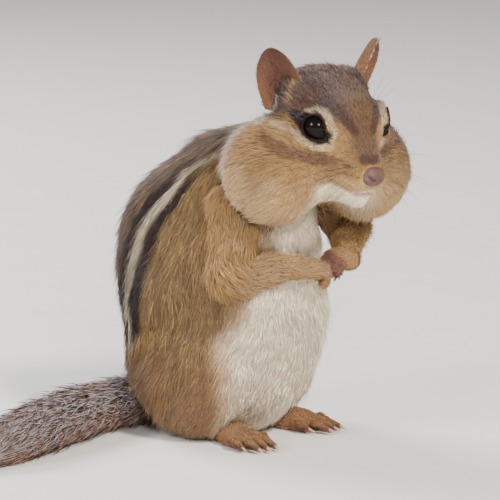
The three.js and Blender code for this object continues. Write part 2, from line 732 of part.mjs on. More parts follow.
const chipmunk = new THREE.Group();
const head = new THREE.Group();
head.applyMatrix4(headFrame);
chipmunk.add(head);
head.add(meshOf('head', headSolid, FUR.head), meshOf('nose', noseSolid(), NOSE_FINISH));
chipmunk.add(meshOf('neck', neckSolid, FUR.neck), meshOf('torso', torsoSolid, FUR.torso));
for (const side of [RIGHT, LEFT]) {
  const name = (part) => `${part}_${SIDE_NAME[side]}`;
  head.add(meshOf(name('eye'), eyeSolid(side), EYE_FINISH));
  head.add(meshOf(name('ear'), earSolid(side), FUR.ear));
  head.add(meshOf(name('pouch'), pouchSolid(side), FUR.pouch));
  const { upper, lower } = armParts(side);
  const pawClear = cut(pawSolid(side), armSolid(side, GAP), ...(side === RIGHT ? [pawSolid(LEFT, GAP)] : []));
  chipmunk.add(meshOf(name('upper_arm'), upper, FUR.arm), meshOf(name('forearm'), lower, FUR.arm));
  chipmunk.add(meshOf(name('paw'), pawClear, FUR.paw));
  chipmunk.add(meshOf(name('thigh'), thighSolid(side), FUR.thigh));
  chipmunk.add(meshOf(name('foot'), footSolid(side), FUR.foot));
}
chipmunk.add(
  meshOf('tail_base', tailLength(0, TAIL_CUTS[0]), FUR.tail),
  meshOf('tail_middle', tailLength(TAIL_CUTS[0], TAIL_CUTS[1]), FUR.tail),
  meshOf('tail_tip', tailLength(TAIL_CUTS[1], 1), FUR.tail),
);

export default chipmunk;
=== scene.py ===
"""The looks of a life-size eastern chipmunk that sits up with full cheek pouches.

Shapes are worked out in millimetres, in the frame's own axes: +Z is up, the body faces -Y and +X is the
animal's left.
"""

import bpy
import numpy as np
from mathutils import Matrix, Vector


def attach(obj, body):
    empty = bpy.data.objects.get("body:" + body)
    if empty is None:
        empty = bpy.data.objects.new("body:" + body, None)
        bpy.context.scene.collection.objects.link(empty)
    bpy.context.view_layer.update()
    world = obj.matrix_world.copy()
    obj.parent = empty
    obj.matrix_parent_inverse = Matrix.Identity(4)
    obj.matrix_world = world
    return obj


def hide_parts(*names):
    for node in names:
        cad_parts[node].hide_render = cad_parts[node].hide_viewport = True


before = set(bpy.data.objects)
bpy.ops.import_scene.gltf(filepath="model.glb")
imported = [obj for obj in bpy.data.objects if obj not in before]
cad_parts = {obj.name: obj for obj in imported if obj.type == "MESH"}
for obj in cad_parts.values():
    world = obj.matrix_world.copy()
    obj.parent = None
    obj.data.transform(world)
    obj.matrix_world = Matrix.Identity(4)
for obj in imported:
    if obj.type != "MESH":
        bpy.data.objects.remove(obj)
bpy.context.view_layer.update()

MM = 0.001  # metres in a millimetre
RIGHT, LEFT = -1, 1
SIDES = (RIGHT, LEFT)
SIDE_NAME = {RIGHT: "right", LEFT: "left"}

# The head: the point midway between the eyes, and its turn in degrees
EYES_AT = np.array([-6.2, -47.8, 97.3])
HEAD_YAW = -18.0
HEAD_PITCH = 16.0

# Sizes in the head's own frame, whose muzzle points to -Y
EYE_OUT = 10.0
EYE_AHEAD = 0.8
EYE_RADIUS = 4.7
EYE_LOOK = np.array([0.86, -0.42, 0.2])  # the way the left eye faces
LID_OPENING = (3.1, 3.3)  # half-sizes of the eye that shows between the lids
LID_CORNER = 1.7  # how far the front corner is drawn out
LID_COVER = 0.35  # how far the lids stand over the eyeball
LID_DEPTH = 1.6  # how far ahead of the eyeball's middle the lids open
POUCH_RADII = (13.5, 15.5, 15.5)
POUCH_AT = {RIGHT: (-16.0, 9.0, -17.6), LEFT: (16.6, 8.2, -19.2)}
NOSE_AT = np.array([0.0, -16.6, -9.9])
NOSE_RADII = np.array([3.2, 2.5, 2.7])
NOSE_SWELL = (1.2, 1.06, 1.06)  # the bare pad's radii, as shares of the solid's
MOUTH_HEIGHT = -15.9
MOUTH_HALF_WIDTH = 6.2
MOUTH_DROOP = 1.6
MOUTH_GROOVE = 0.55
EAR_AT = np.array([11.6, 14.0, 2.2])
EAR_RISE = np.array([8.0, 1.8, 16.2])
EAR_WIDTH = 13.0
EAR_CUP = 4.0
EAR_SUNK = 0.24

# Forelegs, from shoulder to knuckles
FORELEG = {
    RIGHT: [(-16, -17, 72), (-24, -20, 53), (-9.5, -33, 54), (-4.6, -36.8, 53)],
    LEFT: [(15.5, -19, 72), (23.5, -29, 62), (10, -38.4, 54.4), (5, -39, 54.8)],
}
ARM_RADII = (7.2, 5.4, 3.5)
PAW_HALF_WIDTH = 3.8
FINGER_LENGTH = 8.0
FINGER_RADII = 1.15 * np.array([1, 1, 0.95, 0.75])
FINGER_SPREAD = 1.85
PAW_CLAW = 2.4
PAW_CLAW_RADIUS = 0.42
PALM_RADII = (2.7, 2.1)  # at the wrist and at the knuckles

# Thighs and hind feet
THIGH_AT = np.array([18.0, -2.0, 21.0])
THIGH_RADII = (10.5, 18.5, 20.0)
THIGH_LEAN = -10.0
FOOT_LENGTH = 21.5
FOOT_BALL = FOOT_LENGTH - 2
TOE_LENGTH = 8.5
TOE_SHARES = (0.62, 1, 1, 1, 0.72)
TOE_SET_BACK = (3.5, 1, 1, 1, 3.5)
TOE_RADII = 1.35 * np.array([1, 1, 0.85])
TOE_SPACING = 2.15
TOE_SPLAY = 0.05
TOE_CLAW = 3.0
TOE_CLAW_RADIUS = 0.6
SOLE_RADII = (4.0, 3.6, 3.4)
PAD_RADII = (2.6, 2.2)
PAD_ASIDE = 2.2
FOOT_AT = {RIGHT: ((-12.0, -4.0), 17.0), LEFT: ((12.0, -4.0), 3.0)}  # heel and turn-out in degrees

# The tail: its middle line, and the half-width and half-height of its hair
TAIL = np.array(
    [
        (0, 15, 8, 7, 7),
        (-9, 26, 7, 9, 7.4),
        (-24, 30, 6.6, 10.4, 7.3),
        (-41, 29.5, 6.5, 11, 7.1),
        (-57, 27.5, 6.2, 10.4, 6.7),
        (-71, 25, 5.2, 8.4, 5.6),
        (-84, 22.5, 3.4, 2.6, 2.4),
    ]
)
TAIL_PATH, TAIL_HALF = TAIL[:, :3], TAIL[:, 3:]
TAIL_CORE = 0.42  # the tail's flesh and underfur, as a share of its hair's outline

# Widths of the soft creases where forms meet
TRUNK_CREASE, THIGH_CREASE, NECK_CREASE, SHOULDER_CREASE = 9, 5, 5, 2.5
SKULL_CREASE, PAD_CREASE, JAW_CREASE, POUCH_CREASE = 5, 2, 3, 9
ARM_CREASE, PALM_CREASE, SOLE_CREASE, WRIST_CREASE, DIGIT_CREASE, LID_CREASE = 3, 2.5, 3, 1.2, 0.5, 0.8

# Depth of the coat over the skin
MUZZLE_COAT = 0.45
HEAD_COAT = 1.5
BODY_COAT = 2.2
ARM_COAT = 0.9
FOOT_COAT = 0.3

# The grid that the skin is found on: its spacing, its two corners, and the skin's least height
SKIN_STEP = 0.72
SKIN_LOW = (-31, -70, 0.12 - SKIN_STEP * 2)
SKIN_HIGH = (31, 42, 120)
SOLE_HEIGHT = 0.05

# Fields: functions of a place that are negative inside a form


def mass(at, radii, lean=0.0):
    """An ellipsoid leant about X: about how far outside it a place is, near * (near - 1) / steep. Near is the
    distance from the centre with each axis divided by its radius, and steep has each divided by it twice."""
    cosine, sine = np.cos(np.radians(lean)), np.sin(np.radians(lean))
    (cx, cy, cz), (rx, ry, rz) = at, radii

    def field(x, y, z):
        across = (x - cx) / rx
        along = ((y - cy) * cosine + (z - cz) * sine) / ry
        rise = ((z - cz) * cosine - (y - cy) * sine) / rz
        near = np.sqrt(across**2 + along**2 + rise**2)
        steep = np.sqrt((across / rx) ** 2 + (along / ry) ** 2 + (rise / rz) ** 2)
        return near * (near - 1) / np.maximum(steep, 1e-9)

    return field


def limb(start, start_radius, end, end_radius):
    """A round cone: the distance to a straight line, less a radius that changes evenly along it."""
    (ax, ay, az), (dx, dy, dz) = start, np.subtract(end, start)
    length_squared = dx * dx + dy * dy + dz * dz

    def field(x, y, z):
        t = np.clip(((x - ax) * dx + (y - ay) * dy + (z - az) * dz) / length_squared, 0, 1)
        reach = np.sqrt((x - ax - dx * t) ** 2 + (y - ay - dy * t) ** 2 + (z - az - dz * t) ** 2)
        return reach - (start_radius + (end_radius - start_radius) * t)

    return field


def blend(crease, inside, *others):
    """The lesser of values, less (max(crease - |a - b|, 0) / crease) squared times crease / 4."""
    for other in others:
        meet = np.maximum(crease - np.abs(inside - other), 0) / crease
        inside = np.minimum(inside, other) - meet * meet * crease / 4
    return inside


def join(crease, *forms):
    """Forms run together with a soft crease of about the given width."""
    return lambda x, y, z: blend(crease, *[form(x, y, z) for form in forms])


def chain(points, radii, crease):
    """Round cones end to end along a list of points."""
    return join(crease, *[limb(a, ra, b, rb) for a, ra, b, rb in zip(points, radii, points[1:], radii[1:])])


def nearby(centre, reach, form):
    """A form worked out only within reach of a place; elsewhere its value is how far beyond reach it is."""
    cx, cy, cz = centre

    def field(x, y, z):
        beyond = np.sqrt((x - cx) ** 2 + (y - cy) ** 2 + (z - cz) ** 2) - reach
        value = np.maximum(beyond, 0) + 4
        near = beyond < 0
        value[near] = form(x[near], y[near], z[near])
        return value

    return field


def both_sides(make):
    """What a function makes for the right side and for the left."""
    return [make(side) for side in SIDES]


def ramp(value, start, end):
    """A smooth step from 0 at start to 1 at end, either way round."""
    t = np.clip((value - start) / (end - start), 0, 1)
    return t * t * (3 - 2 * t)


def unit(vectors):
    """Vectors made one long."""
    return vectors / np.maximum(np.linalg.norm(vectors, axis=-1, keepdims=True), 1e-9)


def turned(degrees, axis):
    """The turn by an angle about a named axis, as a matrix."""
    return np.array(Matrix.Rotation(np.radians(degrees), 3, axis))


HEAD_TURN = turned(HEAD_YAW, "Z") @ turned(HEAD_PITCH, "X")


def to_room(places):
    """Places of the head's frame in the room's frame."""
    return np.asarray(places, float) @ HEAD_TURN.T + EYES_AT


def to_head(places):
    """Places of the room's frame in the head's frame."""
    return (np.asarray(places, float) - EYES_AT) @ HEAD_TURN


# The head's masses, in its own frame: centres and radii of skull, brow, muzzle, cheeks and throat
skull = join(
    SKULL_CREASE,
    mass((0, 9.5, 0.4), (12.8, 16.5, 12.6)),
    *both_sides(lambda side: mass((side * 9, 12, 3.4), (5.7, 7.2, 8.2))),
    limb((0, 0, -1), 9.6, (0, -12.4, -9.2), 4.7),
    *both_sides(lambda side: mass((side * 6.4, 1, -1.5), (4.6, 8, 6))),
    *both_sides(lambda side: mass((side * 7.6, 3, -8.4), (5.5, 10, 7))),
    mass((0, 9, -14), (13, 14, 12)),
)
lower_jaw = limb((0, 2, -17), 7.5, (0, -11.4, -18.2), 3.5)
whisker_pads = join(PAD_CREASE, *both_sides(lambda side: mass((side * 3.5, -11, -11.6), (4.5, 5.6, 4.5))))
pouches = both_sides(lambda side: mass(POUCH_AT[side], POUCH_RADII))
head_form = join(POUCH_CREASE, join(JAW_CREASE, join(SKULL_CREASE, skull, whisker_pads), lower_jaw), *pouches)

# The trunk's masses, from rump to neck, and the thighs
trunk_form = join(
    TRUNK_CREASE,
    mass((0, 2, 20), (25, 25.5, 22)),
    mass((0, -1.5, 38), (28, 32.4, 36)),
    mass((0, 5, 55), (24.5, 27.4, 28.6)),
    mass((0, -12, 62), (20, 18, 20)),
    mass((0, -4, 71), (19, 18.5, 16)),
    limb((0, -7, 77), 15, (-3, -31, 86), 14),
)
thighs = both_sides(lambda side: mass(THIGH_AT * (side, 1, 1), THIGH_RADII, THIGH_LEAN))
body_form = join(THIGH_CREASE, trunk_form, *thighs)


def foreleg_frame(side):
    """Wrist and knuckles of a forepaw, and its ahead, back-of-hand and across directions."""
    wrist, knuckles = np.array(FORELEG[side][2], float), np.array(FORELEG[side][3], float)
    ahead = unit(knuckles - wrist)
    back = np.array([0, -0.5, 0.87])
    back = unit(back - ahead * (back @ ahead))
    return wrist, knuckles, ahead, back, np.cross(ahead, back)


def finger_path(side, number):
    """A finger's knuckle, middle joint, curled end and claw tip."""
    _, knuckles, ahead, back, across = foreleg_frame(side)
    spread = (number - 1.5) * FINGER_SPREAD
    length = FINGER_LENGTH * (1 - 0.1 * abs(number - 1.4))
    joint = (length * 0.42, 0.3)
    stations = [(-1, 0.5), joint, (length * 0.5, -length * 0.35), (length * 0.38, -length * 0.62)]
    points = [knuckles + ahead * f + back * r + across * spread for f, r in stations]
    return points + [points[-1] - back * PAW_CLAW - ahead * 0.6]


def foot_frame(side):
    """The place of a point of a foot, from how far ahead, across and up it is from the heel."""
    (x, y), toe_out = FOOT_AT[side]
    turn = np.radians(toe_out)
    ahead = np.array([side * np.sin(turn), -np.cos(turn), 0])
    across = np.array([side * np.cos(turn), np.sin(turn), 0])
    return lambda forward, sideways, z: np.array([x, y, z]) + ahead * forward + across * sideways


def toe_path(side, number):
    """A toe's root, joint, end and claw tip."""
    at = foot_frame(side)
    sideways = (number - 2) * TOE_SPACING
    length = TOE_LENGTH * TOE_SHARES[number]
    start = FOOT_BALL - TOE_SET_BACK[number]
    splay = sideways * (1 + TOE_SPLAY * length)
    return [
        at(start, sideways, 2.2),
        at(start + length * 0.5, splay, 2.9),
        at(start + length, splay, 1.6),
        at(start + length + TOE_CLAW, splay, 0.7),
    ]


def arm_form(side):
    """Two round cones from shoulder to elbow to wrist."""
    return chain(FORELEG[side][:3], ARM_RADII, ARM_CREASE)


def paw_form(side):
    """A palm of two round cones side by side, and four curled fingers."""
    wrist, knuckles, _, _, across = foreleg_frame(side)
    halves = [(across * s * 1.2, across * s * (PAW_HALF_WIDTH - 2.2)) for s in (-1, 1)]
    palm = [limb(wrist + heel, PALM_RADII[0], knuckles + front, PALM_RADII[1]) for heel, front in halves]
    fingers = [chain(finger_path(side, n)[:4], FINGER_RADII, DIGIT_CREASE) for n in range(4)]
    return join(0.7, join(PALM_CREASE, *palm), *fingers)


def foot_form(side):
    """A sole that tapers from the heel, two pads at its ball, and five toes."""
    at = foot_frame(side)
    middle = [at(0, 0, 3.8), at(FOOT_BALL * 0.45, 0, 3.3), at(FOOT_BALL * 0.8, 0, 2.8)]
    sole = chain(middle, SOLE_RADII, 1.0)
    ends = [(at(FOOT_BALL * 0.6, s, 2.4), at(FOOT_BALL - 0.6, s * 1.3, 2.2)) for s in (-PAD_ASIDE, PAD_ASIDE)]
    pads = [limb(heel, PAD_RADII[0], front, PAD_RADII[1]) for heel, front in ends]
    toes = [chain(toe_path(side, n)[:3], TOE_RADII, DIGIT_CREASE) for n in range(5)]
    return join(0.8, join(SOLE_CREASE, sole, *pads), *toes)


ARM_REACH, PAW_REACH, FOOT_REACH, MOUTH_REACH = 38, 19, 27, 10  # how far round them the small forms matter
arms = both_sides(lambda side: nearby(FORELEG[side][1], ARM_REACH, arm_form(side)))
paws = both_sides(lambda side: nearby(FORELEG[side][3], PAW_REACH, paw_form(side)))
feet = both_sides(lambda side: nearby(foot_frame(side)(12, 0, 3), FOOT_REACH, foot_form(side)))
FACE_OUT, FACE_IN = -24.0, -4.0  # Y of the head's frame surely ahead of the mouth, and surely inside


def face_ahead(x, z):
    """Where the face's coat is, straight ahead of the mouth, by halving the way between out and in."""
    outside, inside = np.full(np.shape(x), FACE_OUT), np.full(np.shape(x), FACE_IN)
    for _ in range(24):
        middle = (outside + inside) / 2
        is_out = head_form(x, middle, z) > 0
        outside, inside = np.where(is_out, middle, outside), np.where(is_out, inside, middle)
    return outside


def mouth_curve(share, drop=0.0, sunk=0.0):
    """The mouth's line for shares from -1 to 1: straight at the middle, its corners drawn down."""
    x = MOUTH_HALF_WIDTH * share
    z = MOUTH_HEIGHT - drop - MOUTH_DROOP * share**2
    return np.stack([x, face_ahead(x, z) + sunk, z], -1)


groove_line = mouth_curve(np.linspace(-1, 1, 9), sunk=0.3)
groove = chain(groove_line, [MOUTH_GROOVE] * len(groove_line), 0.1)
mouth_groove = nearby(groove_line[4], MOUTH_REACH, groove)


def eye_centre(side):
    """The middle of an eyeball, in the head's frame."""
    return np.array([side * EYE_OUT, -EYE_AHEAD, 0.0])


def eye_frame(side):
    """The way an eye looks, the way to its front corner and the way up across them, in the head's frame."""
    look = unit(EYE_LOOK * (side, 1, 1))
    forward = np.array([0, -1, -0.55])
    forward = unit(forward - look * (forward @ look))
    upward = np.cross(look, forward)
    return look, forward, upward * np.sign(upward[2])


def almond(places, side):
    """How far places of the head's frame are outside the opening of an eye's lids, seen along its look."""
    look, forward, upward = eye_frame(side)
    local = places - eye_centre(side)
    ahead, above = local @ forward, local @ upward
    ahead = ahead - LID_CORNER * np.clip(ahead / (LID_OPENING[0] + LID_CORNER), 0, 1) ** 3
    opening = (np.hypot(ahead / LID_OPENING[0], above / LID_OPENING[1]) - 1) * min(LID_OPENING)
    return np.maximum(opening, LID_DEPTH - local @ look)


def skin_form(x, y, z):
    """The flesh: head, body, forelegs and feet, each inside its solid by the coat's depth there."""
    places = to_head(np.stack(np.broadcast_arrays(x, y, z), -1))
    hx, hy, hz = places[..., 0], places[..., 1], places[..., 2]
    coat = MUZZLE_COAT + (HEAD_COAT - MUZZLE_COAT) * ramp(hy, -12, 9)
    head = np.maximum(head_form(hx, hy, hz) + coat, -mouth_groove(hx, hy, hz))
    flesh = blend(NECK_CREASE, body_form(x, y, z) + BODY_COAT, head)
    flesh = blend(SHOULDER_CREASE, flesh, *[arm(x, y, z) + ARM_COAT for arm in arms])
    flesh = blend(WRIST_CREASE, flesh, *[part(x, y, z) + FOOT_COAT for part in (*paws, *feet)])
    for side in SIDES:
        lids = mass(eye_centre(side), [EYE_RADIUS + LID_COVER] * 3)(hx, hy, hz)
        flesh = np.maximum(blend(LID_CREASE, flesh, lids), -almond(places, side))
    return flesh


def drop_onto(field, places, reach, step=0.05):
    """Places moved along a field's slope, told by forward differences, to where the field is zero."""
    x, y, z = places.T
    here = field(x, y, z)
    beside = np.stack([field(x + step, y, z), field(x, y + step, z), field(x, y, z + step)], -1)
    return places - unit(beside - here[:, None]) * np.clip(here, -reach, reach)[:, None]


def grid_values(field, axes, reach):
    """A field's values on a grid: from every other point, but its own wherever they are near zero."""
    coarse = field(*np.meshgrid(*[axis[::2] for axis in axes], indexing="ij"))
    wide, deep, tall = (len(axis) for axis in axes)
    values = coarse.repeat(2, 0).repeat(2, 1).repeat(2, 2)[:wide, :deep, :tall]
    near = np.argwhere(np.abs(values) < reach)
    values[tuple(near.T)] = field(*[axis[near[:, n]] for n, axis in enumerate(axes)])
    return values


def surface_of(field, low, high, step):
    """The surface where a field is zero: a point in each grid cell that it crosses, the mean of the crossings
    on the cell's edges moved down the slope, and a quad round each grid edge that it crosses."""
    axes = [np.arange(a, b + step, step) for a, b in zip(low, high)]
    values = grid_values(field, axes, 3 * step)
    inside = values < 0
    count = np.zeros([n - 1 for n in inside.shape], np.int8)
    corners = [(a, b, c) for a in (0, 1) for b in (0, 1) for c in (0, 1)]
    for a, b, c in corners:
        count += inside[a : a + count.shape[0], b : b + count.shape[1], c : c + count.shape[2]]
    cells = np.argwhere((count > 0) & (count < len(corners)))
    number = np.full(count.shape, -1)
    number[tuple(cells.T)] = np.arange(len(cells))
    total, crossings = np.zeros((len(cells), 3)), np.zeros(len(cells))
    for a in corners:
        for axis in range(3):
            if a[axis]:
                continue
            b = tuple(1 if n == axis else v for n, v in enumerate(a))
            va, vb = values[tuple((cells + a).T)], values[tuple((cells + b).T)]
            crosses = (va < 0) != (vb < 0)
            t = np.where(crosses, va / np.where(crosses, va - vb, 1), 0)
            place = np.array(a) + t[:, None] * (np.array(b) - a)
            total += place * crosses[:, None]
            crossings += crosses
    points = np.array(low) + (cells + total / crossings[:, None]) * step
    for _ in range(2):
        points = drop_onto(field, points, step / 2)
    quads = []
    for axis, (u, v) in enumerate([(1, 2), (2, 0), (0, 1)]):
        ahead, du, dv = (np.eye(3, dtype=int)[n] for n in (axis, u, v))
        near = inside[tuple(slice(None, -1) if n == axis else slice(1, -1) for n in range(3))]
        far = inside[tuple(slice(1, None) if n == axis else slice(1, -1) for n in range(3))]
        edges = np.argwhere(near != far) + (1 - ahead)
        starts_in = inside[tuple(edges.T)]
        quad = np.stack([number[tuple((edges - shift).T)] for shift in (du + dv, dv, 0 * du, du)], -1)
        quad[~starts_in] = quad[~starts_in][:, ::-1]
        quads.append(quad)
    return points, np.concatenate(quads)


# Surfaces on grids: shells are (points, quads, triangles)


def spline(points, t):
    """A smooth line through evenly shared points: a Catmull-Rom curve, at shares t from 0 to 1."""
    padded = np.concatenate([[2 * points[0] - points[1]], points, [2 * points[-1] - points[-2]]])
    k = np.clip(np.asarray(t, float), 0, 1) * (len(points) - 1)
    i = np.minimum(k.astype(int), len(points) - 2)
    f = (k - i)[..., None]
    a, b, c, d = (padded[i + n] for n in range(4))
    return 0.5 * (2 * b + (c - a) * f + (2 * a - 5 * b + 4 * c - d) * f**2 + (3 * b - a - 3 * c + d) * f**3)


def grid_faces(rows, columns):
    """Quads of a grid of points whose last column meets its first."""
    r, c = np.meshgrid(np.arange(rows - 1), np.arange(columns), indexing="ij")
    here, beside = r * columns + c, r * columns + (c + 1) % columns
    return np.stack([here, beside, beside + columns, here + columns], -1).reshape(-1, 4)


def shell(rings, start, end):
    """A closed surface from rows of points round a line, with one point at each end of it."""
    rows, around = rings.shape[:2]
    here = np.arange(around) + 1
    after = np.roll(here, -1)
    last = rows * around + 1
    first_fan = np.stack([np.zeros(around, int), here, after], -1)
    last_fan = np.stack([np.full(around, last), after + last - 1 - around, here + last - 1 - around], -1)
    points = np.concatenate([[start], rings.reshape(-1, 3), [end]])
    return points, grid_faces(rows, around)[:, ::-1] + 1, np.concatenate([first_fan, last_fan])


def tube(points, radii, around=8, up=(0, 0, 1), flat=1.0):
    """A tapered tube: rings of half-widths across a line, flattened towards up, with a point at each end."""
    tangent = unit(np.gradient(points, axis=0))
    side = unit(np.cross(tangent, np.asarray(up, float)))
    top = np.cross(side, tangent)
    turn = np.linspace(0, 2 * np.pi, around, endpoint=False)[:, None]
    ring = side[1:-1, None] * np.cos(turn) + top[1:-1, None] * np.sin(turn) * flat
    return shell(points[1:-1, None] + radii[1:-1, None, None] * ring, points[0], points[-1])


def outward(piece):
    """A shell with its faces turned so that they point out, told by the sign of its volume."""
    points, quads, triangles = piece
    a, b, c = (points[triangles[:, n]] for n in range(3))
    qa, qb, qc, qd = (points[quads[:, n]] for n in range(4))
    volume = (a * np.cross(b, c)).sum() + (qa * np.cross(qb, qc)).sum() + (qa * np.cross(qc, qd)).sum()
    return piece if volume > 0 else (points, quads[:, ::-1], triangles[:, ::-1])


def gather(pieces):
    """Several shells as one."""
    starts = np.cumsum([0] + [len(piece[0]) for piece in pieces[:-1]])
    return tuple(
        np.concatenate([piece[n] + (start if n else 0) for piece, start in zip(pieces, starts)])
        for n in range(3)
    )


def in_room(piece):
    """A shell of the head's frame, in the room's."""
    return to_room(piece[0]), *piece[1:]


def point_normals(points, quads):
    """The way out at each point: the sum of the cross products of the quads round it, made one long."""
    normals = np.zeros_like(points)
    a, b, c, d = (points[quads[:, n]] for n in range(4))
    cross = np.cross(c - a, d - b)
    for n in range(4):
        np.add.at(normals, quads[:, n], cross)
    return unit(normals)


NO_TRIANGLES = np.zeros((0, 3), int)


def make_mesh(name, piece, smooth=True):
    """A mesh object at the origin, from points in millimetres and arrays of triangles or quads."""
    points, *face_sets = piece
    mesh = bpy.data.meshes.new(name)
    corners = np.concatenate([faces.ravel() for faces in face_sets])
    sizes = np.concatenate([np.full(len(faces), faces.shape[1]) for faces in face_sets])
    mesh.vertices.add(len(points))
    mesh.vertices.foreach_set("co", (points * MM).astype(np.float32).ravel())
    mesh.loops.add(len(corners))
    mesh.loops.foreach_set("vertex_index", corners.astype(np.int32))
    mesh.polygons.add(len(sizes))
    mesh.polygons.foreach_set("loop_start", np.concatenate([[0], np.cumsum(sizes)[:-1]]).astype(np.int32))
    mesh.polygons.foreach_set("use_smooth", np.full(len(sizes), smooth))
    mesh.update(calc_edges=True)
    mesh.validate()
    made = bpy.data.objects.new(name, mesh)
    bpy.context.scene.collection.objects.link(made)
    return made


# Colours of the coat and of what is bare


def tint(red, green, blue):
    """A colour seen as red, green and blue from 0 to 255, as the linear values that a shader mixes."""
    seen = np.array([red, green, blue]) / 255
    return np.where(seen <= 0.04045, seen / 12.92, ((seen + 0.055) / 1.055) ** 2.4)


CROWN = tint(90, 63, 51)
FOREHEAD = tint(112, 82, 58)
CHEEK = tint(166, 126, 76)
PALE_CHEEK = tint(224, 186, 130)
CREAM = tint(208, 194, 168)
FACE_CREAM = tint(206, 180, 142)
WHITE = tint(255, 240, 214)
WARM_EDGE = tint(222, 186, 144)
DARK = tint(52, 38, 36)
BROWN = tint(104, 72, 52)
DARK_BROWN = tint(72, 48, 44)
PLUM = tint(48, 34, 38)
GREY_BROWN = tint(98, 84, 78)
FLANK = tint(146, 118, 78)
RUFOUS = tint(154, 112, 70)
ORANGE = tint(176, 138, 92)
FOOT = tint(146, 108, 74)
# painted shade low on and between the toes
PAINTED_TOE_SHADE = tint(84, 56, 48)
BARE_PINK = tint(176, 124, 112)
FINGER = tint(126, 84, 74)
RUST = tint(142, 92, 62)
# painted rim light: the pale band down the back edge of the head and pouches
PAINTED_RIM_LIGHT = tint(206, 202, 204)
TAIL_DARK = tint(88, 68, 58)
TAIL_FROST = tint(204, 196, 198)
EAR_SKIN = tint(112, 78, 64)
EAR_BACK = tint(130, 96, 72)
EAR_INSIDE = tint(110, 76, 62)
EAR_EDGE = tint(152, 108, 68)
# painted shade in the hollow at the base of each ear's inside
EAR_HOLLOW_SHADE = tint(52, 28, 34)
EAR_RIM = tint(214, 186, 160)
EAR_TUFT = tint(222, 220, 226)
CLAW_ROOT = tint(150, 108, 92)
CLAW_TIP = tint(188, 162, 138)
WHISKER = tint(58, 48, 44)


def mix(colour, other, share):
    """A colour, or one for each place, moved towards another by a share for each place."""
    return colour + (other - colour) * np.asarray(share)[:, None]


def layered(colour, layers):
    """A ground colour with (colour, share) layers laid over it in turn."""
    for other, share in layers:
        colour = mix(colour, other, share)
    return colour


def ripple(places, wavelength, seed):
    """Smooth irregular values from about -1 to 1: a sum of waves in seeded directions."""
    draw = np.random.default_rng(seed)
    total = np.zeros(len(places))
    for _ in range(7):
        wave = unit(draw.normal(size=3)) * 2 * np.pi / (wavelength * draw.uniform(0.7, 1.5))
        total += np.sin(places @ wave + draw.uniform(0, 2 * np.pi))
    return total / 3


def from_line(places, line):
    """The distance of places from a line of straight lengths."""
    line = np.asarray(line, float)
    nearest = np.full(len(places), np.inf)
    for a, b in zip(line[:-1], line[1:]):
        t = np.clip((places - a) @ (b - a) / ((b - a) @ (b - a)), 0, 1)
        nearest = np.minimum(nearest, np.linalg.norm(places - a - t[:, None] * (b - a), axis=1))
    return nearest


def band(value, middle, half_width, soft):
    """1 within half_width of a middle value, falling softly to 0."""
    return 1 - ramp(np.abs(value - middle), half_width - soft, half_width + soft)


def mirrored(places):
    """Places with the animal's right side laid over its left."""
    return np.concatenate([np.abs(places[:, :1]), places[:, 1:]], 1)


WEDGE_SLANT = np.radians(28)  # how far the dark wedge behind the eye dips below the line of its corners
WEDGE_HALF_WIDTH = 3.2
WEDGE_TAPER = 0.36
LID_RIM = (1.1, 0.5)  # where the dark rim round the eye starts and is full, from the lids' opening
EAR_PATCH_AT = (14.5, 17.5, 0.5)  # the white patch behind the left ear

# Face marks of the left side, in the head's frame: a line, its half-width, its colour and its strength
FACE_MARKS = [
    (
        [(9.5, 12, 11.8), (9.3, 6, 10.3), (8.3, 0, 8.0), (6.6, -5.2, 5.6), (3.6, -9.4, 1.4)],
        1.5, DARK_BROWN, 0.85,
    ),
    ([(9.4, -5.0, 2.6), (8.3, -6.9, 0.4)], 0.9, FACE_CREAM, 0.45),
    ([(15.4, 13.6, 3.6), (17.1, 13.2, -0.7)], 1.9, PLUM, 0.9),
    ([(12.2, 10.6, 10.4), (14.0, 9.6, 7.0), (15.0, 9.2, 4.2)], 1.3, ORANGE, 0.8),
    ([(18.0, 13.6, -2.4), (20.4, 12.4, -3.2)], 1.5, CREAM, 0.8),
    ([(18.9, 10, -1.0), (17.4, 4.9, -1.4), (15, -0.7, -2.9)], 1.1, FACE_CREAM, 0.45),
    ([(15.4, 0.2, -2.7), (15, -0.7, -2.9), (11.9, -5.0, -4.0), (9.4, -7.2, -4.1)], 1.3, FACE_CREAM, 0.72),
    ([(11.2, -4.2, -1.0), (9.4, -7.0, -2.6)], 0.75, PLUM, 0.95),
    (
        [(23, 6, -4.6), (21, -0.2, -6.5), (17.1, -3.4, -7.2), (12.7, -6.1, -7.6), (9.4, -9.2, -7.6)],
        1.9, BROWN, 0.75,
    ),
    ([(8.6, -10.2, -7.4), (5.6, -13.2, -8.2)], 0.7, DARK_BROWN, 0.6),
    ([(2.2, -14.4, -5.4), (0.0, -15.2, -5.6)], 1.5, DARK_BROWN, 0.8),
]


def eye_layers(places):
    """The cream ring round the left eye, and its dark rim with the wedge that runs back from it."""
    _, forward, upward = eye_frame(LEFT)
    local = places - eye_centre(LEFT)
    behind, above = -local @ forward, local @ upward
    lid_gap = almond(places, LEFT)
    near_eye = ramp(np.linalg.norm(local, axis=1), 9.5, 8.0)
    ring = band(lid_gap, 1.6, 0.65, 0.45) * ramp(np.abs(above + 0.4), 0.6, 1.6) * near_eye * 0.8
    reach = behind * np.cos(WEDGE_SLANT) - above * np.sin(WEDGE_SLANT)
    beside = np.abs(above * np.cos(WEDGE_SLANT) + behind * np.sin(WEDGE_SLANT))
    wedge = ramp(beside - WEDGE_HALF_WIDTH + WEDGE_TAPER * (reach - 3), 0.4, -0.4)
    wedge = wedge * ramp(reach, 1.5, 3) * ramp(reach, 10.6, 9.2) * ramp(places[:, 0], 6, 9)
    return [(FACE_CREAM, ring), (PLUM, np.maximum(wedge, ramp(lid_gap, *LID_RIM)))]


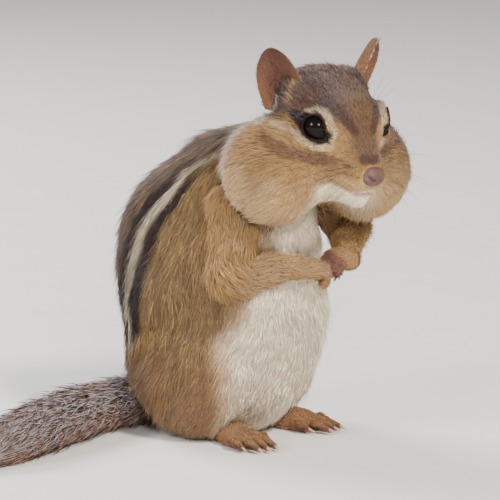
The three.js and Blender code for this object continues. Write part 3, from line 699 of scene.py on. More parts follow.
def head_colours(places):
    """Russet crown, golden cheeks that pale downwards, and the stripes that run back from the muzzle."""
    folded = mirrored(places)
    x, y, z = folded.T
    wander = ripple(places, wavelength=9, seed=3)
    ticking = ripple(places * (1, 0.6, 1), wavelength=3.4, seed=17)
    chin = ramp(z + 0.06 * x**1.4 + 0.15 * wander, -13.4, -16.4)
    ground = [
        (PALE_CHEEK, ramp(z + wander, -8, -23) * 0.9),
        (BROWN, ramp(ticking, 0.3, 1.6) * 0.3),
        (CROWN, ramp(z + 0.25 * y + wander, -1.5, 4.5)),
        (FOREHEAD, band(x, 0, 5, 2) * ramp(y, 6, -6) * ramp(z, -9, -3)),
        (CHEEK, ramp(x, 5, 8) * ramp(y, -6, -10) * ramp(z, -2, -6) * 0.6),
        (PALE_CHEEK, ramp(y, -6, -12) * ramp(z, -9.5, -12.5) * 0.8),
        (WHITE, ramp(y, 6, -8) * chin * ramp(x, 15, 7)),
    ]
    marks = []
    for line, half_width, mark, strength in FACE_MARKS:
        near = from_line(folded, line) + 0.3 * wander
        marks.append((mark, strength * (1 - ramp(near, half_width * 0.6, half_width * 1.35))))
    behind = y + 0.5 * wander
    # Painted rim light: a pale band down the back edge of the head and pouches, as hair lit from behind looks
    painted_rim = ramp(behind, 14.6, 18.0) * (1 - 0.75 * ramp(behind, 17.2, 22.5)) * ramp(x, 9, 14) * ramp(z, 4, -2)
    nape = [
        (WHITE, ramp(np.linalg.norm(folded - EAR_PATCH_AT, axis=1), 5.2, 2.6) * 0.9),
        (GREY_BROWN, ramp(y + wander, 15, 25) * ramp(z, -10, -2)),
        (PAINTED_RIM_LIGHT, painted_rim * 0.6),
    ]
    return layered(CHEEK, ground + marks + eye_layers(folded) + nape)


def back_angle(places):
    """Degrees round the trunk from the middle of the back, about a line that leans into the neck."""
    x, y, z = places.T
    spine = -1 - 22 * ramp(z, 62, 96)
    return np.degrees(np.arctan2(np.abs(x) / 28, (y - spine) / 32))


def body_colours(places):
    """Golden flanks, a white belly, and five dark stripes and two cream ones down the back."""
    z = places[:, 2]
    wander = ripple(places, wavelength=14, seed=5)
    angle = back_angle(places) + 1.5 * wander
    streaks = ripple(places * (1, 1, 0.3), wavelength=4.5, seed=15)
    belly_edge = 117 + 13 * ramp(z, 32, 46) + 13 * ramp(z, 48, 58)
    round_to_belly = angle + 2 * wander
    length = ramp(z + 2 * wander, 24, 36) * ramp(z + wander, 91, 77)
    outer = 60 + 11 * ramp(z, 36, 62) - 6 * ramp(z, 68, 84)
    layers = [
        (RUFOUS, ramp(z + 3 * wander, 40, 14) * 0.75),
        (GREY_BROWN, ramp(angle, 66, 56) * ramp(z + 3 * wander, 12, 46) * 0.85),
        (BROWN, ramp(streaks, 0.2, 1.5) * 0.45),
        (ORANGE, ramp(streaks, -0.2, -1.5) * 0.5),
        (ORANGE, band(angle, 128, 22, 12) * ramp(z, 48, 62) * 0.8),
        (WARM_EDGE, ramp(round_to_belly, belly_edge - 9, belly_edge + 3) * 0.8),
        (WHITE, ramp(round_to_belly, belly_edge - 2, belly_edge + 17)),
        (DARK, band(angle, 0, 4.6, 2.2) * ramp(z, 12, 30) * ramp(z, 104, 96) * 0.85),
        (DARK, band(angle, outer - 16, 5.4, 2.2) * length),
        (CREAM, band(angle, outer - 8, 3.4, 2.0) * length * 0.95),
        (DARK, band(angle, outer, 4.8, 2.2) * length),
    ]
    return layered(FLANK, layers)


def limb_colours(places):
    """Golden brown forelegs, whose colour runs from the body's at the shoulder."""
    clear_of_body = ramp(body_form(*places.T), -2.5, 2.0)
    pale = ramp(ripple(places, wavelength=7, seed=8), 0, 1.4) * 0.3
    return layered(body_colours(places), [(ORANGE, clear_of_body), (PALE_CHEEK, pale)])


FINGER_SHADE = {RIGHT: 0.3, LEFT: 0.8}  # how dark the curled fingers are
PAW_HEIGHT = 30.0  # paws are above it and feet below


def foot_colours(places):
    """Golden brown above, bare pink below the feet, painted shade between the toes, pink brown down the
    fingers.
    """
    x, _, z = places.T
    layers = [(ORANGE, ramp(z, 25, 35))]
    for side in SIDES:
        _, knuckles, ahead, _, _ = foreleg_frame(side)
        curled = ramp((places - knuckles) @ ahead, 1.0, 4.0) * (z > PAW_HEIGHT) * (x * side > -1)
        at = foot_frame(side)
        forward = (places - at(0, 0, 0)) @ (at(1, 0, 0) - at(0, 0, 0))
        on_toes = ramp(forward, 16, 21) * (z < PAW_HEIGHT) * (x * side > 0)
        # painted shade: the toes darken low down, near the floor and between them
        layers += [(FINGER, curled * FINGER_SHADE[side]), (PAINTED_TOE_SHADE, on_toes * ramp(z, 3.3, 1.6) * 0.85)]
    return layered(FOOT, layers + [(BARE_PINK, ramp(z, 1.6, 0.6))])


# The skin


def ear_frame(side):
    """Root, upward, facing and across directions of an ear, in the head's frame."""
    root, rise = EAR_AT * (side, 1, 1), EAR_RISE * (side, 1, 1)
    upward = unit(rise)
    facing = np.array([side * 0.62, -0.78, 0])
    facing = unit(facing - upward * (facing @ upward))
    return root, rise, upward, facing, np.cross(upward, facing)


def ear_shell(side, rows=30, around=40):
    """A cupped leaf: flat rings that widen, then round off to the tip, bent forward at both edges."""
    root, rise, upward, facing, across = ear_frame(side)
    v = np.linspace(0, 1, rows + 2)[:, None]
    turn = 2 * np.pi * np.arange(around)[None] / around
    t = (1 + EAR_SUNK) * np.sin(v * np.pi / 2) - EAR_SUNK
    share = np.sqrt(np.maximum(0, 1 - np.maximum(0, (t - 0.3) / 0.7) ** 2.2)) * np.minimum(1, v * 8)
    wide = (EAR_WIDTH / 2 - 0.35) * share
    sideways = np.cos(turn)
    curl = EAR_CUP * share * (sideways**2 - 0.35)
    thick = (0.3 + 0.5 * np.maximum(0, 0.35 - t)) * np.sin(turn) * np.minimum(1, wide / 2)
    height = np.linalg.norm(rise) * 0.985 * t
    places = (
        root
        + upward * height[..., None]
        + across * (wide * sideways)[..., None]
        + facing * (curl + thick)[..., None]
    )
    return outward(in_room(shell(places[1:-1], places[0, 0], places[-1, 0])))


def tail_at(t):
    """The tail's middle, two half-sizes, and tangent, side and top directions at shares t along it."""
    tangent = unit(spline(TAIL_PATH, np.minimum(t + 0.01, 1)) - spline(TAIL_PATH, np.maximum(t - 0.01, 0)))
    side = unit(np.cross(tangent, (0, 0, 1)))
    return spline(TAIL_PATH, t), spline(TAIL_HALF, t), tangent, side, np.cross(side, tangent)


def tail_core(rows=80, around=20):
    """The tail's core: ellipses across its line, at a share of the hair's half-sizes."""
    middle, half, _, side, top = tail_at(np.linspace(0, 1, rows))
    turn = np.linspace(0, 2 * np.pi, around, endpoint=False)[:, None]
    ring = side[:, None] * np.cos(turn) * half[:, None, :1] + top[:, None] * np.sin(turn) * half[:, None, 1:]
    places = middle[:, None] + ring * TAIL_CORE
    places[..., 2] = np.maximum(places[..., 2], 0.4)
    return outward(shell(places[1:-1], places[0].mean(0), places[-1].mean(0)))


body_points, body_quads = surface_of(skin_form, SKIN_LOW, SKIN_HIGH, SKIN_STEP)
body_points[:, 2] = np.maximum(body_points[:, 2], SOLE_HEIGHT)
body_normals = point_normals(body_points, body_quads)

# Which part of the body each point of the skin belongs to: the one whose own skin it is nearest
HEAD, BODY, ARM, PAW, FOOT_PART = range(5)
part_of = np.argmin(
    [
        head_form(*to_head(body_points).T) + HEAD_COAT,
        body_form(*body_points.T) + BODY_COAT,
        np.minimum(*[arm(*body_points.T) for arm in arms]) + ARM_COAT,
        np.minimum(*[paw(*body_points.T) for paw in paws]) + FOOT_COAT,
        np.minimum(*[foot(*body_points.T) for foot in feet]) + FOOT_COAT,
    ],
    0,
)


def coat_colours(places, parts):
    """The markings of the whole coat, with the head's running softly into the body's."""
    near_head = ramp(head_form(*to_head(places).T) - body_form(*places.T), 3, -3)
    colour = mix(body_colours(places), head_colours(to_head(places)), near_head)
    for number, colours in {ARM: limb_colours, PAW: foot_colours, FOOT_PART: foot_colours}.items():
        chosen = parts == number
        colour[chosen] = colours(places[chosen])
    return colour


# Materials


def fill(tree, node, sockets):
    """A node's inputs, by name or number: each linked to an output, or set to a value."""
    for socket, source in sockets.items():
        if isinstance(source, bpy.types.NodeSocket):
            tree.links.new(source, node.inputs[socket])
        else:
            node.inputs[socket].default_value = source


def put(tree, kind, sockets, **settings):
    """Adds a node with its settings and its inputs."""
    node = tree.nodes.new(kind)
    for name, value in settings.items():
        setattr(node, name, value)
    fill(tree, node, sockets)
    return node


def new_group(name, colour_in, values_in, kind_out):
    """A shader node group with a colour input or none, number inputs with their values, and one output."""
    group = bpy.data.node_groups.new(name, "ShaderNodeTree")
    if colour_in:
        group.interface.new_socket(colour_in, in_out="INPUT", socket_type="NodeSocketColor")
    for socket, value in values_in.items():
        made = group.interface.new_socket(socket, in_out="INPUT", socket_type="NodeSocketFloat")
        made.default_value = value
    group.interface.new_socket(kind_out[0], in_out="OUTPUT", socket_type=kind_out[1])
    start, end = group.nodes.new("NodeGroupInput"), group.nodes.new("NodeGroupOutput")
    return group, start.outputs, end


def grain_noise(group, given, **more):
    """Fine noise in the object's own space, at the group's own grain."""
    where = put(group, "ShaderNodeTexCoord", {}).outputs["Object"]
    return put(group, "ShaderNodeTexNoise", {"Vector": where, "Scale": given["Grain"], **more}).outputs["Fac"]


def uneven_tone_group():
    """Colour made lighter and darker by noise: times 1 + 4 * share * (noise - 0.5)."""
    group, given, end = new_group(
        "uneven_tone", "Colour", {"Grain": 900.0, "Share": 0.2}, ("Colour", "NodeSocketColor")
    )
    noise = grain_noise(group, given, Detail=3.0, Roughness=0.6)
    centred = put(group, "ShaderNodeMath", {0: noise, 1: 0.5}, operation="SUBTRACT")
    scaled = put(group, "ShaderNodeMath", {0: centred.outputs[0], 1: given["Share"]}, operation="MULTIPLY")
    lifted = put(group, "ShaderNodeMath", {0: scaled.outputs[0], 1: 4.0, 2: 1.0}, operation="MULTIPLY_ADD")
    lit = {0: given["Colour"], "Scale": lifted.outputs[0]}
    fill(group, end, {"Colour": put(group, "ShaderNodeVectorMath", lit, operation="SCALE").outputs[0]})
    return group


def fine_relief_group():
    """A bump from noise, with its grain and depth."""
    group, given, end = new_group(
        "fine_relief", None, {"Grain": 2000.0, "Depth": 0.0002}, ("Normal", "NodeSocketVector")
    )
    noise = grain_noise(group, given, Detail=4.0)
    bump = put(group, "ShaderNodeBump", {"Height": noise, "Distance": given["Depth"]})
    fill(group, end, {"Normal": bump.outputs["Normal"]})
    return group


UNEVEN_TONE = uneven_tone_group()
FINE_RELIEF = fine_relief_group()


def finish(name, colour, tone, relief, **shader_values):
    """A material: a plain colour or, without one, the markings, with an uneven tone of a grain and a share, a
    fine relief of a grain and a depth in metres, and the shader's own values."""
    material = bpy.data.materials.new(name)
    material.use_nodes = True
    tree = material.node_tree
    shader = tree.nodes["Principled BSDF"]
    fill(tree, shader, {socket.replace("_", " "): value for socket, value in shader_values.items()})
    if colour is None:
        ground = put(tree, "ShaderNodeAttribute", {}, attribute_name="Markings").outputs["Color"]
    else:
        ground = (*colour, 1)
    tones = {"Colour": ground, "Grain": tone[0], "Share": tone[1]}
    toned = put(tree, "ShaderNodeGroup", tones, node_tree=UNEVEN_TONE)
    fill(tree, shader, {"Base Color": toned.outputs["Colour"]})
    if relief:
        depths = {"Grain": relief[0], "Depth": relief[1]}
        bumped = put(tree, "ShaderNodeGroup", depths, node_tree=FINE_RELIEF)
        fill(tree, shader, {"Normal": bumped.outputs["Normal"]})
    return material


coat_finish = finish(
    "coat_hair", None, (700.0, 0.12), None,
    Roughness=0.7, Specular_IOR_Level=0.16, Sheen_Weight=0.12, Sheen_Roughness=0.4,
)
skin_finish = finish(
    "haired_skin", None, (1600.0, 0.3), (2600.0, 0.0004), Roughness=0.85, Specular_IOR_Level=0.15
)
eye_finish = finish(
    "wet_eye", tint(16, 10, 9), (500.0, 0.1), None,
    Roughness=0.3, Specular_IOR_Level=0.02, Coat_Weight=0.5, Coat_Roughness=0.02, Coat_IOR=1.3,
)
lid_finish = finish(
    "bare_lid", tint(26, 18, 18), (1800.0, 0.2), (3000.0, 0.0001), Roughness=0.6, Specular_IOR_Level=0.12
)
nose_finish = finish(
    "bare_nose", tint(88, 60, 52), (1400.0, 0.18), (3400.0, 0.00022),
    Roughness=0.48, Subsurface_Weight=0.12, Subsurface_Scale=0.001,
)
lip_finish = finish("pink_lip", tint(206, 160, 156), (1400.0, 0.12), (2600.0, 0.00012), Roughness=0.42)
claw_finish = finish(
    "claw_horn", None, (1200.0, 0.12), None, Roughness=0.36, Coat_Weight=0.3, Coat_Roughness=0.2
)
whisker_finish = finish("whisker_hair", None, (600.0, 0.1), None, Roughness=0.45)
floor_finish = finish("pale_floor", tint(226, 222, 216), (40.0, 0.02), None, Roughness=0.8)


def add_piece(name, piece, material, slot, colours=None, replaces=()):
    """A piece of the animal on its still body: its mesh and finish, its markings as a colour for each point,
    and the nodes that it stands for. The slot is not used."""
    made = make_mesh(name, piece)
    if colours is not None:
        opaque = np.concatenate([colours, np.ones((len(colours), 1))], 1).astype(np.float32)
        markings = made.data.attributes.new("Markings", "FLOAT_COLOR", "POINT")
        markings.data.foreach_set("color", opaque.ravel())
    made.data.materials.append(material)
    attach(made, "root")
    if replaces:
        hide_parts(*replaces)
    return made


FLESH = ["head", "neck", "torso", "tail_base", "tail_middle", "tail_tip"]
FLESH += [
    f"{part}_{SIDE_NAME[side]}"
    for side in SIDES
    for part in ("ear", "pouch", "upper_arm", "forearm", "paw", "thigh", "foot")
]
SKIN_SHADE, CORE_SHADE = 0.85, 0.6  # how bright the skin and the tail's core are under their hair
ear_shells = both_sides(ear_shell)
skin = gather([(body_points, body_quads, NO_TRIANGLES), *ear_shells, tail_core()])
ear_count = sum(len(ear[0]) for ear in ear_shells)
core_count = len(skin[0]) - len(body_points) - ear_count
skin_colours = [
    coat_colours(body_points, part_of) * SKIN_SHADE,
    np.tile(EAR_SKIN, (ear_count, 1)),
    np.tile(RUST * CORE_SHADE, (core_count, 1)),
]
add_piece("skin", skin, skin_finish, "fur_flank", np.concatenate(skin_colours), FLESH)

# The coat


def scatter(points, normals, quads, density, draw):
    """Random roots on quads, density to a square millimetre: their places, ways out and nearest points."""
    a, b, c, d = (points[quads[:, n]] for n in range(4))
    area = np.linalg.norm(np.cross(c - a, d - b), axis=1) / 2
    count = np.floor(area * density + draw.random(len(quads))).astype(int)
    corners = quads[np.repeat(np.arange(len(quads)), count)]
    u, v = draw.random((2, len(corners)))
    shares = [(1 - u) * (1 - v), u * (1 - v), u * v, (1 - u) * v]
    place = sum(share[:, None] * points[corners[:, n]] for n, share in enumerate(shares))
    way = unit(sum(share[:, None] * normals[corners[:, n]] for n, share in enumerate(shares)))
    return place, way, corners[:, 0]


def along_surface(lie, out):
    """Directions with what points out of the surface taken away."""
    return unit(lie - out * (lie * out).sum(1)[:, None])


LIE_JITTER = 9.0  # how unevenly single tufts lie, in degrees


def swirled(lie, out, places, draw, wavelength, degrees, seed):
    """Directions turned about the way out: by slow waves over the coat, and a little at random."""
    turn = degrees * ripple(places, wavelength, seed) + LIE_JITTER * draw.normal(size=len(places))
    turn = np.radians(turn)[:, None]
    return lie * np.cos(turn) + np.cross(out, lie) * np.sin(turn)


PATCH = 0.0015  # half the size of a tuft's patch on the unwrapped skin
PATCH_AT = np.array([(0, -1), (-1, -0.2), (1, -0.2), (0, 0.3), (0, 1)]) * PATCH
TUFT_FACES = np.array([(0, 2, 1), (0, 3, 2), (0, 1, 3), (4, 1, 2), (4, 2, 3), (4, 3, 1)])
FLOOR_GAP = 0.02  # the least height of a hair over the floor
ROOT_DEPTH = 0.25  # how far under the skin a tuft starts


def tufts(root, out, lie, length, width, height):
    """Closed spindles of hair: a root under the skin, three points round the thickest part and a low tip."""
    across = np.cross(lie, out)
    length, width, height = (np.broadcast_to(v, len(root))[:, None] for v in (length, width, height))
    belly = root + lie * length * 0.4 + out * height * 0.62
    tip = root + lie * length * 0.98 + out * height * 0.9
    left, right, top = belly - across * width / 2, belly + across * width / 2, belly + out * width * 0.42
    points = np.stack([root - out * ROOT_DEPTH, left, right, top, tip], 1)
    points[..., 2] = np.maximum(points[..., 2], FLOOR_GAP)
    return points


def lay_out(values, groups):
    """Places on the unit square for two values of each root, each group stretched to fit its own column."""
    kinds = np.unique(groups)
    laid = np.empty_like(values)
    for column, kind in enumerate(kinds):
        chosen = groups == kind
        low, high = values[chosen].min(0), values[chosen].max(0)
        share = 0.004 + 0.992 * (values[chosen] - low) / np.maximum(high - low, 1e-6)
        laid[chosen] = (share + (column, 0)) / (len(kinds), 1)
    return laid


def coat_piece(name, slot, points, faces, patch, unwrapped, colours):
    """One piece of the coat from (tufts, points of a tuft, 3) places, their colours and unwrapped patches."""
    count, each = points.shape[:2]
    corners = faces[None] + each * np.arange(count)[:, None, None]
    piece = (points.reshape(-1, 3), corners.reshape(-1, 3))
    made = add_piece(name, piece, coat_finish, slot, colours.reshape(-1, 3))
    spots = (unwrapped[:, None] + patch[None])[:, faces.ravel()]
    made.data.uv_layers.new(name="OFBake").data.foreach_set("uv", spots.astype(np.float32).ravel())


def tuft_colours(colour, grizzle, draw, root_share):
    """Colours of each tuft's points: dark at the root, its own at the belly, lighter at the tip, uneven by
    grizzle."""
    count = len(colour)
    uneven = np.broadcast_to(grizzle, count)[:, None] * draw.normal(size=(count, 1))
    own = colour * np.clip(1 + uneven, 0.35, 1.9)
    root_share = np.broadcast_to(root_share, count)
    shares = np.stack([root_share, *[0.5 + 0.5 * root_share] * 3, 1.25 - 0.2 * root_share], -1)
    return own[:, None] * shares[..., None]


def head_lie(places, out):
    """Back from the tip of the nose, and downwards on the pouches."""
    local = to_head(places)
    lie = unit(local - (0, -19, -6))
    lie[:, 2] -= 0.55 * ramp(np.abs(local[:, 0]), 9, 16) * ramp(local[:, 2], -4, -12)
    return along_surface(lie @ HEAD_TURN.T, out)


def body_lie(places, out):
    """Down the back and flanks, down and outwards on the chest, and back over the thighs."""
    x, y, z = places.T
    back = 0.12 + 0.5 * ramp(z, 34, 14) * ramp(np.abs(x), 12, 22)
    lie = np.stack([0.014 * x * ramp(y, -5, -20), back, -np.ones(len(x))], -1)
    return along_surface(lie, out)


def arm_way(side, places):
    """Along a foreleg from the shoulder to the wrist."""
    shoulder, elbow, wrist = (np.array(p, float) for p in FORELEG[side][:3])
    upper, lower = limb(shoulder, 0, elbow, 0)(*places.T), limb(elbow, 0, wrist, 0)(*places.T)
    share = ramp(upper - lower, -3, 3)[:, None]
    return unit(elbow - shoulder) * (1 - share) + unit(wrist - elbow) * share


def paw_way(side, places):
    """Along the back of a paw, then down its fingers."""
    _, knuckles, ahead, back, _ = foreleg_frame(side)
    beyond = ramp((places - knuckles) @ ahead, 2, 6)[:, None]
    return ahead * (1 - beyond) - back * beyond


def foot_way(side, places):
    """Ahead along a foot, and a little down."""
    at = foot_frame(side)
    return np.tile(at(1, 0, 0) - at(0, 0, 0) + (0, 0, -0.2), (len(places), 1))


def by_side(way_of, border=0.0):
    """A lie that follows each side's own limb; the two sides meet at X = -border."""

    def lie_of(places, out):
        lie = np.zeros_like(places)
        for side in SIDES:
            chosen = places[:, 0] * side > -border * side
            lie[chosen] = way_of(side, places[chosen])
        return along_surface(lie, out)

    return lie_of


PAWS_MEET = 0.8  # the paws are held together this far to the right of the middle
LIES = (head_lie, body_lie, by_side(arm_way), by_side(paw_way, PAWS_MEET), by_side(foot_way))

# How far from eyes, nose, mouth and floor no hair grows
BARE_LID, BARE_NOSE, BARE_LIP, BARE_SOLE = 0.55, 0.5, 0.85, 0.25

draw = np.random.default_rng(7)
head_places = to_head(body_points)
hx, hy, hz = head_places.T
height = body_points[:, 2]
eye_room = almond(mirrored(head_places), LEFT)
nose_room = mass(NOSE_AT, NOSE_RADII)(hx, hy, hz)
mouth_room = from_line(head_places, mouth_curve(np.linspace(-0.9, 0.9, 9), drop=0.35))
bare = (eye_room < BARE_LID) | (nose_room < BARE_NOSE) | (mouth_room < BARE_LIP) | (height < BARE_SOLE)
pouch_share = ramp(np.minimum(*[pouch(hx, hy, hz) for pouch in pouches]), 2.5, -0.5)
round_back = back_angle(body_points)
off_body = ramp(body_form(*body_points.T), -1, 10)
wrist_gap = np.minimum(*[np.linalg.norm(body_points - FORELEG[side][2], axis=1) for side in SIDES])
at_wrist = ramp(wrist_gap, 15, 4)
on_toes = ramp(body_points[:, 1], -22, -28)
on_body, on_head = part_of == BODY, part_of == HEAD

# How the hair of head, body, arms, paws and feet grows at each point of the skin
hair_long = np.choose(
    part_of,
    [
        1.25 + 2.1 * ramp(hy, -13, 6) + 1.5 * pouch_share + 1.6 * ramp(hy, 12, 24),
        6.4 - 1.2 * ramp(height, 30, 8) + 0.8 * ramp(round_back, 100, 84),
        (5.8 - 1.8 * off_body) * (1 - 0.6 * at_wrist),
        1.9 - 0.8 * ramp(wrist_gap, 5, 9),
        1.5 - 0.75 * on_toes,
    ],
)
hair_wide = np.choose(
    part_of, [0.22 + 0.1 * ramp(hy, -12, 10), 0.33 - 0.06 * ramp(round_back, 100, 130), 0.28, 0.24, 0.27]
)
hair_high = np.choose(
    part_of,
    [
        0.34 + 0.95 * ramp(hy, -12, 9) + 0.25 * pouch_share,
        2.0 - 0.6 * ramp(round_back, 110, 135),
        2.6 * (1 - 0.6 * at_wrist),
        0.5,
        0.26 - 0.14 * on_toes,
    ],
)
hair_dense = np.choose(part_of, [17 - 10.4 * ramp(hy, -10, 10), 7.8, 9.5, 12.0, 12.0]) * ~bare
grizzle_of = np.choose(
    part_of, [0.17 + 0.1 * ramp(hz, -4, 3), 0.07 + 0.17 * ramp(round_back, 126, 100), 0.15, 0.15, 0.15]
)

# Where the back's and the belly's coat ends, in degrees round the trunk
BACK_END, BELLY_START = 42, 134
on_pouch = on_head & (pouch_share >= 0.5)
on_face = on_head & ~on_pouch & (hy < 1.5)
on_flank = on_body & (round_back >= BACK_END) & (round_back < BELLY_START)
REGIONS = {
    "coat_face": ("fur_crown", on_face),
    "coat_crown": ("fur_crown", on_head & ~on_face & ~on_pouch),
    "coat_pouches": ("fur_cheek", on_pouch),
    "coat_back": ("fur_flank", on_body & (round_back < BACK_END)),
    "coat_flank_right": ("fur_flank", on_flank & (body_points[:, 0] < 0)),
    "coat_flank_left": ("fur_flank", on_flank & (body_points[:, 0] >= 0)),
    "coat_belly": ("fur_flank", on_body & (round_back >= BELLY_START)),
    "coat_arms": ("fur_limb", part_of == ARM),
    "coat_feet": ("fur_foot", (part_of == PAW) | (part_of == FOOT_PART)),
}
HEAD_MIDDLE = (0, 8, -6)  # the point in the head that its coat is unwrapped round


def region_unwrap(name, places):
    """Two values for each root that unwrap its part of the skin, and the number of its group."""
    x, y, z = places.T
    if name in ("coat_arms", "coat_feet"):
        group = (x > 0) + 2 * (z > PAW_HEIGHT) if name == "coat_feet" else (x > 0) * 1
        values = np.zeros((len(places), 2))
        for number in np.unique(group):
            chosen = group == number
            local = places[chosen] - places[chosen].mean(0)
            _, _, axes = np.linalg.svd(local[:: max(1, len(local) // 500)], full_matrices=False)
            values[chosen] = np.stack([np.arctan2(local @ axes[2], local @ axes[1]), local @ axes[0]], -1)
        return values, group
    one_group = np.zeros(len(places), int)
    if name in ("coat_belly", "coat_back", "coat_flank_right", "coat_flank_left"):
        return np.stack([np.arctan2(x, -y if name == "coat_belly" else y), z], -1), one_group
    x, y, z = (to_head(places) - HEAD_MIDDLE).T
    rise = np.arctan2(z, np.hypot(x, y))
    if name == "coat_pouches":
        return np.stack([np.arctan2(-y, np.abs(x)), rise], -1), (x > 0) * 1
    return np.stack([np.arctan2(x, -y if name == "coat_face" else y), rise], -1), one_group


SIZE_SPREAD = 0.16  # how unevenly long the tufts are
GUARD_SHARE, GUARD_EXTRA = 0.09, 0.35  # how many are guard hairs, and how much longer those are
CLUMPING = 0.13  # how far the coat's length goes up and down in clumps


def grow(name, slot, chosen):
    """One region's coat: seeded roots, each with its part's lie, size, markings and patch, and a few long
    guard hairs."""
    quads = body_quads[chosen[body_quads[:, 0]]]
    place, way, near = scatter(body_points, body_normals, quads, hair_dense[quads[:, 0]], draw)
    haired = ~bare[near]
    place, way, near = place[haired], way[haired], near[haired]
    lie = np.zeros_like(place)
    for number, lie_of in enumerate(LIES):
        mine = part_of[near] == number
        if mine.any():
            lie[mine] = lie_of(place[mine], way[mine])
    lie = along_surface(swirled(lie, way, place, draw, wavelength=16, degrees=13, seed=12), way)
    size = np.exp(SIZE_SPREAD * draw.normal(size=len(place)))
    guard = 1 + GUARD_EXTRA * (draw.random(len(place)) < GUARD_SHARE)
    clump = 1 + CLUMPING * ripple(place, wavelength=5.5, seed=21)
    seen_at = place + lie * (hair_long[near] * 0.45)[:, None] + way * hair_high[near][:, None]
    colour = coat_colours(seen_at, part_of[near])
    paleness = ramp(colour[:, 2], 0.3, 0.7)
    length = hair_long[near] * size * clump * guard
    width = hair_wide[near] * draw.uniform(0.75, 1.25, len(place)) / guard
    rise = hair_high[near] * (1 - (0.38 - 0.2 * paleness) * draw.random(len(place))) * clump * guard**1.6
    points = tufts(place, way, lie, length, width, rise)
    colours = tuft_colours(colour, grizzle_of[near], draw, 0.55 + 0.42 * paleness)
    coat_piece(name, slot, points, TUFT_FACES, PATCH_AT, lay_out(*region_unwrap(name, place)), colours)


for name, (slot, chosen) in REGIONS.items():
    grow(name, slot, chosen)

EAR_HAIR_DENSE = 13.0
EAR_HAIR_WIDE = 0.2
EAR_BARE = 0.5  # how far up an ear its hair starts


def ear_coat():
    """Very short hair up both faces of each ear, and a pale fringe on its rim."""
    grown = []
    for side, (points, quads, _) in zip(SIDES, ear_shells):
        root, *ways = ear_frame(side)
        root, (rise, upward, facing, across) = to_room(root), (way @ HEAD_TURN.T for way in ways)
        density = np.full(len(quads), EAR_HAIR_DENSE)
        place, way, _ = scatter(points, point_normals(points, quads), quads, density, draw)
        above = (place - root) @ upward > EAR_BARE
        place, way = place[above], way[above]
        height = ((place - root) @ upward) / np.linalg.norm(rise)
        inside = ramp(way @ facing, 0.2, 0.7)
        rim = 1 - np.abs(way @ facing)
        aside = (place - root) @ across
        lie = along_surface(upward + 0.35 * across * np.sign(aside)[:, None], way)
        lie = unit(lie + (0.25 + 0.8 * ramp(rim, 0.5, 0.9))[:, None] * way * 0.5)
        off_middle = np.abs(aside)
        layers = [
            (EAR_INSIDE, inside),
            (EAR_EDGE, ramp(off_middle, 2.8, 4.6) * ramp(height, 0.9, 0.4) * 0.85),
            # painted shade: the inside of each ear darkens low down and near its middle, in its hollow
            (EAR_HOLLOW_SHADE, inside * ramp(height, 0.7, 0.25) * ramp(off_middle, 5.0, 2.4) * 0.95),
            (EAR_RIM, ramp(rim, 0.55, 0.9) * 0.6),
        ]
        length = 0.75 + 0.7 * ramp(rim, 0.4, 0.9) - 0.25 * inside
        group = np.where(way @ facing > 0, 1, 0) + (side + 1)
        colour = layered(EAR_BACK, layers)
        grown.append((place, way, lie, length, colour, np.stack([aside, height], -1), group))
    place, way, lie, length, colour, values, group = (np.concatenate(v) for v in zip(*grown))
    lie = unit(swirled(lie, way, place, draw, wavelength=6, degrees=10, seed=31))
    points = tufts(place, way, lie, length, EAR_HAIR_WIDE, length * 0.16 + 0.05)
    colours = tuft_colours(colour, 0.24, draw, 0.65)
    coat_piece("coat_ears", "fur_ear", points, TUFT_FACES, PATCH_AT, lay_out(values, group), colours)


EAR_TUFT_HAIRS = 260
EAR_TUFT_AT = ((13.6, 0.8), (19.4, 1.2), (1.6, 1.8))  # its middle and spread along each axis of the head
EAR_TUFT_LENGTHS = (3.2, 6.4)
EAR_TUFT_WIDE = 0.3


def ear_tufts():
    """Long white hair that stands out behind the base of each ear."""
    count = EAR_TUFT_HAIRS
    side = np.where(np.arange(count) < count // 2, RIGHT, LEFT)
    spots = [draw.normal(middle, spread, count) for middle, spread in EAR_TUFT_AT]
    root = np.stack([side * spots[0], *spots[1:]], -1)
    for _ in range(3):
        root = drop_onto(lambda x, y, z: head_form(x, y, z) + HEAD_COAT, root, 4.0)
    lie = np.stack([side * 0.75, np.full(count, 0.5), np.full(count, 0.45)], -1)
    lie = unit(lie + 0.2 * draw.normal(size=(count, 3)))
    out = unit(np.cross(lie, draw.normal(size=(count, 3))))
    length = draw.uniform(*EAR_TUFT_LENGTHS, count)
    room_out, room_lie = out @ HEAD_TURN.T, lie @ HEAD_TURN.T
    points = tufts(to_room(root), room_out, room_lie, length, EAR_TUFT_WIDE, EAR_TUFT_WIDE)
    colours = tuft_colours(np.tile(EAR_TUFT, (count, 1)), 0.05, draw, 0.8)
    coat_piece("coat_ear_tufts", "fur_ear", points, TUFT_FACES, PATCH_AT, lay_out(root[:, 1:], side), colours)


ear_coat()
ear_tufts()

TAIL_HAIRS = 14000
TAIL_HAIR_REACH = 0.17  # how far a hair lies along the tail, as a share of its length
TAIL_HAIR_WIDE = 0.2
RING_SIDES = ((1, 2), (2, 3), (3, 1))
TAIL_FACES = np.array(
    [(0, 2, 1), (0, 3, 2), (0, 1, 3)]
    + [(a, b, b + 3) for a, b in RING_SIDES]
    + [(a, b + 3, a + 3) for a, b in RING_SIDES]
    + [(7, 4, 5), (7, 5, 6), (7, 6, 4)]
)
TAIL_PATCH = [(0, -1), (-1, -0.4), (1, -0.4), (0, -0.1), (-0.8, 0.4), (0.8, 0.4), (0, 0.6), (0, 1)]
TAIL_PATCH = np.array(TAIL_PATCH) * PATCH


